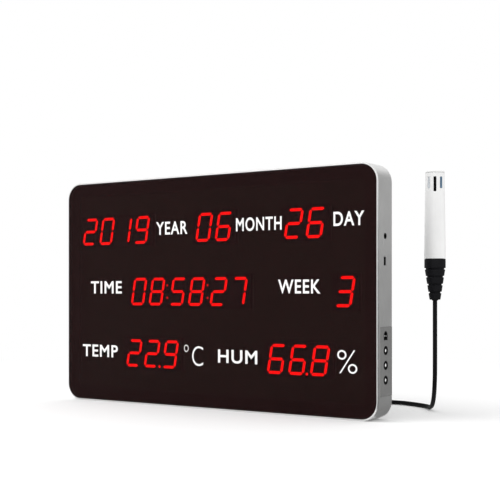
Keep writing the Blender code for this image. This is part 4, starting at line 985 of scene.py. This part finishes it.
@dataclass(frozen=True)
class Legend:
    """One printed field name or unit, fitted between edges that are given from the panel's middle."""

    name: str
    text: str
    left: float
    right: float
    foot: float
    head: float
    bold: float = 0.017
    spacing: float = 1.12
    thick: float = 0.03 * MM
    lift: float = 0.01 * MM

    def build(self, wardrobe: Wardrobe) -> Object:
        """Print the legend on the panel's front.

        Args:
            wardrobe: Where the finishes come from.

        Returns:
            The letters as one thin piece.
        """
        letters = bpy.data.curves.new(self.name, "FONT")
        letters.body = self.text
        letters.offset = self.bold
        letters.space_character = self.spacing
        letters.extrude = self.thick / 2
        holder = link_piece("legend_holder", letters)
        mesh = evaluated_mesh(holder)
        bpy.data.objects.remove(holder)
        self._fit(mesh)
        return wardrobe.dress_piece(link_piece(self.name, mesh), WHITE_INK)

    def _fit(self, mesh: Mesh) -> None:
        """Scale the letters into their space and stand them on the panel's front.

        Args:
            mesh: The letters, lying flat.
        """
        middle = middle_of("front_panel")
        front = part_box("front_panel")[0].y
        across = [vert.co.x for vert in mesh.vertices]
        up = [vert.co.y for vert in mesh.vertices]
        wide = (self.right - self.left) / (max(across) - min(across))
        tall = (self.head - self.foot) / (max(up) - min(up))
        mesh.transform(Matrix((
            (wide, 0, 0, middle.x + self.left - min(across) * wide),
            (0, 0, -1, front - self.lift - self.thick / 2),
            (0, tall, 0, middle.z + self.foot - min(up) * tall),
            (0, 0, 0, 1),
        )))


@dataclass
class DisplayFace(SubAssembly):
    """All that shows through or on the smoked panel."""

    blocks: tuple[DigitBlock, ...] = (
        DigitBlock("year", "2019"),
        DigitBlock("month", "06"),
        DigitBlock("day", "26"),
        DigitBlock("time", "08:58:27"),
        DigitBlock("week", "3"),
        DigitBlock("temperature", "22.9"),
        DigitBlock("humidity", "66.8"),
    )
    legends: tuple[Legend, ...] = (
        Legend("legend_year", "YEAR", -67.5 * MM, -25.7 * MM, 59.6 * MM, 73.1 * MM),
        Legend("legend_month", "MONTH", 35.6 * MM, 89.9 * MM, 60.0 * MM, 73.5 * MM),
        Legend("legend_day", "DAY", 147.8 * MM, 180.6 * MM, 61.6 * MM, 75.0 * MM),
        Legend("legend_time", "TIME", -160.2 * MM, -115.3 * MM, -2.1 * MM, 11.3 * MM),
        Legend("legend_week", "WEEK", 85.8 * MM, 133.6 * MM, -1.9 * MM, 11.6 * MM),
        Legend("legend_temperature", "TEMP", -172.3 * MM, -121.0 * MM, -71.4 * MM, -58.2 * MM),
        Legend("legend_degrees", "°C", -30.2 * MM, -5.5 * MM, -76.2 * MM, -54.9 * MM, UNIT_BOLD),
        Legend("legend_humidity", "HUM", 13.3 * MM, 61.3 * MM, -71.9 * MM, -58.4 * MM),
        Legend("legend_percent", "%", 151.9 * MM, 173.3 * MM, -76.4 * MM, -54.6 * MM, UNIT_BOLD),
    )

    def dress(self) -> None:
        """Give the reflectors their finish."""
        self.wardrobe.dress_nodes(BLACK_PLASTIC, *(block.reflector for block in self.blocks))

    def build(self) -> list[Object]:
        """Make every block of digits and every legend."""
        return [item.build(self.wardrobe) for item in (*self.blocks, *self.legends)]


@dataclass
class KeyColumn(SubAssembly):
    """The grey plate with its three keys, their bezel rings and what is behind them."""

    keys: tuple[str, ...] = ("down", "set", "up")
    foot_radius: float = 1.4 * MM
    foot_length: float = 1.4 * MM
    collar_length: float = 0.7 * MM
    cap_radius: float = 1.6 * MM
    cap_round: float = 0.35 * MM
    dish: float = 0.14 * MM
    dish_share: float = 0.5
    dish_fall: float = 0.8
    bore_radius: float = 1.9 * MM
    ring_radius: float = 4.0 * MM
    ring_round: float = 0.3 * MM
    ring_collar_length: float = 1.5 * MM
    steps: int = 5

    def dress(self) -> None:
        """Give the plate and the pieces behind it their finishes."""
        self.wardrobe.dress_nodes(GREY_PLASTIC, "control_plate", "key_ribbon")
        self.wardrobe.dress_nodes(GREEN_BOARD, "key_board")
        self.wardrobe.dress_nodes(STEEL, "key_screw_1", "key_screw_2")
        self.wardrobe.dress_nodes(BLACK_PLASTIC, *(f"{key}_switch" for key in self.keys))

    def build(self) -> list[Object]:
        """Make each key with its dished top, and its rounded bezel ring.

        Returns:
            The keys and the rings.
        """
        made = []
        for key in self.keys:
            made.append(self._turn(f"{key}_button", self._cap_line, WHITE_PLASTIC, f"{key}_key"))
            made.append(self._turn(f"{key}_bezel", self._ring_line, BLACK_PLASTIC, ROOT))
        return made

    def _turn(self, node: str, line: Profile, finish: Finish, body: str) -> Object:
        """Turn a piece along +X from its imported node's inner end.

        Args:
            node: The node that the new piece replaces.
            line: Gives the (radius, height) points for the node's length and radius.
            finish: What the surface is.
            body: The body that the piece moves with.

        Returns:
            The new piece.
        """
        low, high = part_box(node)
        start = middle_of(node)
        start.x = low.x
        piece = turned_piece(f"{node}_turned", line(high.x - low.x, (high.z - low.z) / 2),
                             Matrix.Translation(start) @ ALONG_X)
        return self.wardrobe.dress_piece(piece, finish, body=body, instead_of=(node,))

    def _cap_line(self, length: float, radius: float) -> Outline:
        """Draw the key: foot, collar and a cap with a rounded edge and a shallow dish.

        Args:
            length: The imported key's length.
            radius: Its collar's radius.

        Returns:
            The key's line.
        """
        shoulder = self.foot_length + self.collar_length
        middle = (self.cap_radius - self.cap_round, length - self.cap_round)
        return [(0.0, 0.0), (self.foot_radius, 0.0), (self.foot_radius, self.foot_length),
                (radius, self.foot_length), (radius, shoulder), (self.cap_radius, shoulder),
                *quarter_round(middle, self.cap_round, self.steps),
                (self.cap_radius * self.dish_share, length - self.dish * self.dish_fall),
                (0.0, length - self.dish)]

    def _ring_line(self, length: float, radius: float) -> Outline:
        """Draw the bezel: a collar behind the plate and a ring with rounded edges in front of it.

        Args:
            length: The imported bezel's length.
            radius: Its collar's radius.

        Returns:
            The bezel's line.
        """
        middle = (self.ring_radius - self.ring_round, length - self.ring_round)
        outer = quarter_round(middle, self.ring_round, self.steps)
        inner = [(self.ring_radius + self.bore_radius - x, z) for x, z in reversed(outer)]
        return [(self.bore_radius, 0.0), (radius, 0.0), (radius, self.ring_collar_length),
                (self.ring_radius, self.ring_collar_length), *outer, *inner]


@dataclass
class SideSockets(SubAssembly):
    """The power inlet, the probe's socket and the data port, with the contacts inside them."""

    contact_count: int = 5
    contact_width: float = 0.45 * MM
    contact_pitch: float = 0.8 * MM
    contact_thick: float = 0.08 * MM
    contact_length: float = 4.0 * MM
    tongue_thick: float = 0.7 * MM
    tongue_setback: float = 0.7 * MM
    pin_setback: float = 0.1 * MM
    pin_steps: int = 5
    bore_radius: float = 2.8 * MM
    spring_width: float = 1.9 * MM
    spring_thick: float = 0.2 * MM
    spring_setback: float = 0.05 * MM
    spring_lip: float = 0.1 * MM
    spring_bow: float = 0.5 * MM
    spring_bend: float = 2.4 * MM
    spring_length: float = 6.0 * MM

    def dress(self) -> None:
        """Give each socket its finish."""
        self.wardrobe.dress_nodes(BLACK_PLASTIC, "dc_jack", "sensor_socket", "data_port")

    def build(self) -> list[Object]:
        """Make the contacts on the data port's tongue, and the inlet's pin and side spring."""
        return [self._build_contacts(), self._build_pin(), self._build_spring()]

    def _build_contacts(self) -> Object:
        """Make the row of contacts on the data port's tongue.

        Returns:
            The contacts as one piece.
        """
        middle = middle_of("data_port")
        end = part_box("data_port")[1].x - self.tongue_setback
        face = middle.y - self.tongue_thick / 2
        start = middle.z - ((self.contact_count - 1) * self.contact_pitch + self.contact_width) / 2
        shape = bmesh.new()
        for place in range(self.contact_count):
            foot = start + place * self.contact_pitch
            add_box(shape, Vector((end - self.contact_length, face - self.contact_thick, foot)),
                    Vector((end, face, foot + self.contact_width)))
        return self.wardrobe.dress_piece(mesh_piece("port_contacts", shape), GOLD)

    def _build_pin(self) -> Object:
        """Make the inlet's middle pin, whose round end comes close to the inlet's face.

        Returns:
            The pin.
        """
        low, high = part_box("dc_pin")
        start = middle_of("dc_pin")
        start.x = low.x
        radius = (high.z - low.z) / 2
        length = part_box("dc_jack")[1].x - self.pin_setback - low.x
        end = quarter_round((0.0, length - radius), radius, self.pin_steps)[:-1]
        pin = turned_piece("dc_pin_round", [(0.0, 0.0), (radius, 0.0), *end, (0.0, length)],
                           Matrix.Translation(start) @ ALONG_X)
        return self.wardrobe.dress_piece(pin, STEEL, instead_of=("dc_pin",))

    def _build_spring(self) -> Object:
        """Make the flat sleeve contact along the inlet's far side, bent out a little in its middle.

        Returns:
            The spring.
        """
        middle = middle_of("dc_pin")
        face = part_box("dc_jack")[1].x
        wall = middle.y + self.bore_radius
        line = [(face - self.spring_setback, wall - self.spring_lip),
                (face - self.spring_bend, wall - self.spring_bow),
                (face - self.spring_length, wall - self.spring_lip)]
        outline = line + [(x, y - self.spring_thick) for x, y in reversed(line)]
        foot = middle.z - self.spring_width / 2
        up = Vector((0.0, 0.0, self.spring_width))
        shape = bmesh.new()
        add_prism(shape, [Vector((x, y, foot)) for x, y in outline], up)
        return self.wardrobe.dress_piece(mesh_piece("dc_sleeve_spring", shape), STEEL)


@dataclass
class ClimateProbe(SubAssembly):
    """The slotted white sleeve with its sensor, and the ribbed boot under it."""

    boot_ribs: int = 4
    boot_pitch: float = 7.8 * MM
    boot_notch: float = 1.4 * MM
    boot_notch_depth: float = 1.1 * MM
    boot_tip: float = 10.6 * MM
    boot_shoulder: float = 20.4 * MM
    boot_collar: float = 20.9 * MM
    boot_collar_height: float = 9 * MM
    boot_round: float = 0.7 * MM
    spigot: float = 16.4 * MM
    mouth: float = 6.4 * MM
    mouth_bore: float = 4.5 * MM
    mouth_height: float = 0.8 * MM
    sides: int = 64
    inside_facing: float = 0.97

    def dress(self) -> None:
        """Dress the probe, with a painted glow on the sleeve's inner faces that stands in for the faint
        light its thin wall lets through.
        """
        self.wardrobe.dress_nodes(WHITE_PLASTIC, "probe_shell", "probe_cap")
        self.wardrobe.dress_nodes(BLUE_BOARD, "probe_board")
        self.wardrobe.dress_nodes(BLACK_PLASTIC, "sensor_chip")
        middle = middle_of("probe_shell")

        def looks_in(face: MeshPolygon) -> bool:
            """Whether a face of the sleeve looks at its axis."""
            inward = (middle - face.center).to_2d().normalized()
            return face.normal.to_2d().dot(inward) > self.inside_facing

        self.wardrobe.accent_node(WHITE_INSIDE_PAINTED_GLOW, "probe_shell", looks_in)

    def build(self) -> list[Object]:
        """Make the boot with soft ribs and a lip round the lead.

        Returns:
            The boot.
        """
        low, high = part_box("probe_boot")
        foot = middle_of("probe_boot")
        foot.z = low.z
        line = rounded_corners(self._boot_line(high.z - low.z), self.boot_round, closed=False)
        boot = turned_piece("boot_ribs", line, Matrix.Translation(foot), self.sides)
        return [self.wardrobe.dress_piece(boot, BLACK_RUBBER, instead_of=("probe_boot",))]

    def _boot_line(self, length: float) -> Outline:
        """Draw the boot from inside its mouth up to the spigot in the sleeve.

        Args:
            length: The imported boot's length.

        Returns:
            The boot's line of (radius, height).
        """
        ribs_height = self.boot_ribs * self.boot_pitch
        slope = (self.boot_shoulder - self.boot_tip) / 2 / ribs_height
        line = [(0.0, self.mouth_height), (self.mouth_bore / 2, self.mouth_height),
                (self.mouth_bore / 2, -self.mouth_height), (self.mouth / 2, -self.mouth_height),
                (self.mouth / 2, 0.0)]
        for rib in range(self.boot_ribs):
            start = rib * self.boot_pitch
            end = start + self.boot_pitch - self.boot_notch
            groove = self.boot_tip / 2 + slope * end - self.boot_notch_depth
            line += [(self.boot_tip / 2 + slope * start, start), (self.boot_tip / 2 + slope * end, end),
                     (groove, end), (groove, start + self.boot_pitch)]
        collar_top = ribs_height + self.boot_collar_height
        line += [(self.boot_collar / 2, ribs_height), (self.boot_collar / 2, collar_top),
                 (self.spigot / 2, collar_top), (self.spigot / 2, length), (0.0, length)]
        return line


@dataclass
class ProbeLead(SubAssembly):
    """The probe's lead: down from the boot, back behind the display, into a tied coil and its plug.

    The bends are in millimetres: from the floor under the boot, from the coil's outer turn, and for
    the tail from the upper layer's end, with the share of its fall to the plug.
    """

    diameter: float = 4.4 * MM
    length: float = 1.535
    coil_x: float = 100 * MM
    coil_y: float = 100 * MM
    coil_inner: float = 16.4 * MM
    coil_step: float = 5.1 * MM
    coil_rise: float = 5.0 * MM
    coil_turns: float = 3.75
    coil_floor_gap: float = 1.2 * MM
    floor_gap: float = 0.2 * MM
    seat_gap: float = 0.3 * MM
    climb_turns: float = 0.5
    loop_points: int = 48
    curve_steps: int = 8
    bevel_steps: int = 6
    drop_bends: tuple[Point, ...] = (
        (0.0, 0.0, 96.0), (0.0, 0.0, 74.0), (0.0, 0.0, 52.0), (-0.4, 0.6, 36.0), (-2.6, 3.8, 20.0),
        (-7.4, 10.8, 8.4),
    )
    floor_bends: tuple[Point, ...] = ((-15.0, 21.6, 0.8), (-25.0, 33.0, 0.0), (-40.0, 41.6, 0.0))
    entry_bends: tuple[Point, ...] = ((46.6, 0.6, 0.0), (30.0, 0.0, 0.2), (16.0, 0.0, 0.9))
    tail_bends: tuple[Point, ...] = ((-10.0, -0.1, 0.0), (-21.0, -0.5, 0.4), (-31.0, -0.9, 0.9))

    def dress(self) -> None:
        """Give the pieces on the lead their finishes."""
        self.wardrobe.dress_nodes(BLACK_PLASTIC, "coil_tie", "plug_body")
        self.wardrobe.dress_nodes(STEEL, "plug_tip")

    def build(self) -> list[Object]:
        """Lay the whole lead as one smooth curve.

        Returns:
            The lead.
        """
        route = self._free_route()
        points = self._smooth(route) + self._coil()
        curve = bpy.data.curves.new("lead", "CURVE")
        curve.dimensions = "3D"
        curve.bevel_depth = self.diameter / 2
        curve.bevel_resolution = self.bevel_steps
        curve.use_fill_caps = True
        spline = curve.splines.new("POLY")
        spline.points.add(len(points) - 1)
        for knot, point in zip(spline.points, points):
            knot.co = (*point, 1.0)
        spline.use_smooth = True
        lead = link_piece("lead", curve)
        self.wardrobe.dress_piece(lead, LEAD_JACKET, instead_of=("probe_lead", "lead_coil"))
        return [lead]

    @property
    def coil_outer(self) -> float:
        """Radius of the outermost turn's middle."""
        return self.coil_inner + self.coil_step * self.coil_turns

    @property
    def coil_low(self) -> float:
        """Height of the lower layer's middle."""
        return self.coil_floor_gap + self.diameter / 2

    def _free_route(self) -> list[Vector]:
        """Lay the free stretch: down from the boot, back, and along the floor to the coil.

        Returns:
            The points that it passes through.
        """
        under = middle_of("probe_boot")
        under.z = 0.0
        start = Vector((0.0, 0.0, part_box("probe_boot")[0].z - self.seat_gap))
        floor = Vector((0.0, 0.0, self.diameter / 2 + self.floor_gap))
        coil = Vector((self.coil_x, self.coil_y + self.coil_outer, 0.0))
        return [
            under + start,
            *(under + Vector(bend) * MM for bend in self.drop_bends),
            *(under + floor + Vector(bend) * MM for bend in self.floor_bends),
            *(coil + floor + Vector(bend) * MM for bend in self.entry_bends),
            coil + Vector((self.diameter + self.seat_gap, 0.0, self.coil_low)),
        ]

    def _tail_route(self) -> list[Vector]:
        """Lay the short tail from the upper layer down to the plug.

        Returns:
            The points that it passes through.
        """
        plug = middle_of("plug_body")
        plug.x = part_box("plug_body")[1].x + self.seat_gap
        start = Vector((self.coil_x, self.coil_y + self.coil_outer, self.coil_low + self.coil_rise))
        fall = plug.z - start.z
        bends = [start + Vector((x * MM, y * MM, fall * share)) for x, y, share in self.tail_bends]
        return [*bends, plug + Vector((self.diameter, 0.0, 0.0)), plug]

    def _coil(self) -> list[Vector]:
        """Wind the put away length: in along the lower layer, up, and out along the upper one.

        Returns:
            Close points along the coil and its tail.
        """
        centre = Vector((self.coil_x, self.coil_y, 0.0))
        total = 2 * self.coil_turns + self.climb_turns
        points = []
        for turn in turns(total, round(total * self.loop_points)):
            past = turn - self.coil_turns
            if past <= 0:
                radius = self.coil_outer - self.coil_step * turn
                height = self.coil_low
            elif past < self.climb_turns:
                share = past / self.climb_turns
                radius = self.coil_inner - self.coil_step / (2 * math.pi) * math.sin(math.pi * share)
                height = self.coil_low + self.coil_rise * (1 - math.cos(math.pi * share)) / 2
            else:
                radius = self.coil_inner + self.coil_step * (past - self.climb_turns)
                height = self.coil_low + self.coil_rise
            angle = math.pi / 2 + 2 * math.pi * turn
            points.append(centre + Vector((radius * math.cos(angle), radius * math.sin(angle), height)))
        return points + self._smooth([points[-1], *self._tail_route()])[1:]

    def _smooth(self, route: Sequence[Vector]) -> list[Vector]:
        """Read a smooth cubic curve through a route's points.

        Args:
            route: The points that the curve passes through.

        Returns:
            Close points along the curve.
        """
        padded = [2 * route[0] - route[1], *route, 2 * route[-1] - route[-2]]
        fine = []
        for before, start, end, after in zip(padded, padded[1:], padded[2:], padded[3:]):
            for step in range(self.curve_steps):
                t = step / self.curve_steps
                fine.append(0.5 * (2 * start + (end - before) * t
                                   + (2 * before - 5 * start + 4 * end - after) * t ** 2
                                   + (3 * start - before - 3 * end + after) * t ** 3))
        return [*fine, route[-1]]


def clear_start_objects() -> None:
    """Remove what a new file holds beside the frame."""
    kept = set(frame["nodes"].values()) | set(frame["bodies"].values())
    for item in list(bpy.data.objects):
        if item not in kept:
            bpy.data.objects.remove(item, do_unlink=True)


def main() -> None:
    """Build the camera, the lead, every other sub-assembly and the studio, in that order."""
    logging.basicConfig(level=logging.INFO, format="%(name)s: %(message)s")
    clear_start_objects()
    wardrobe = Wardrobe()
    PhotoCamera().build()
    for kind in (ProbeLead, DisplayCase, KeyColumn, SideSockets, ClimateProbe, DisplayFace):
        part = kind(wardrobe)
        part.dress()
        for piece in part.build():
            LOG.info("%s: %s", kind.__name__, piece.name)
    Studio().build()


if __name__ == "__main__":
    main()
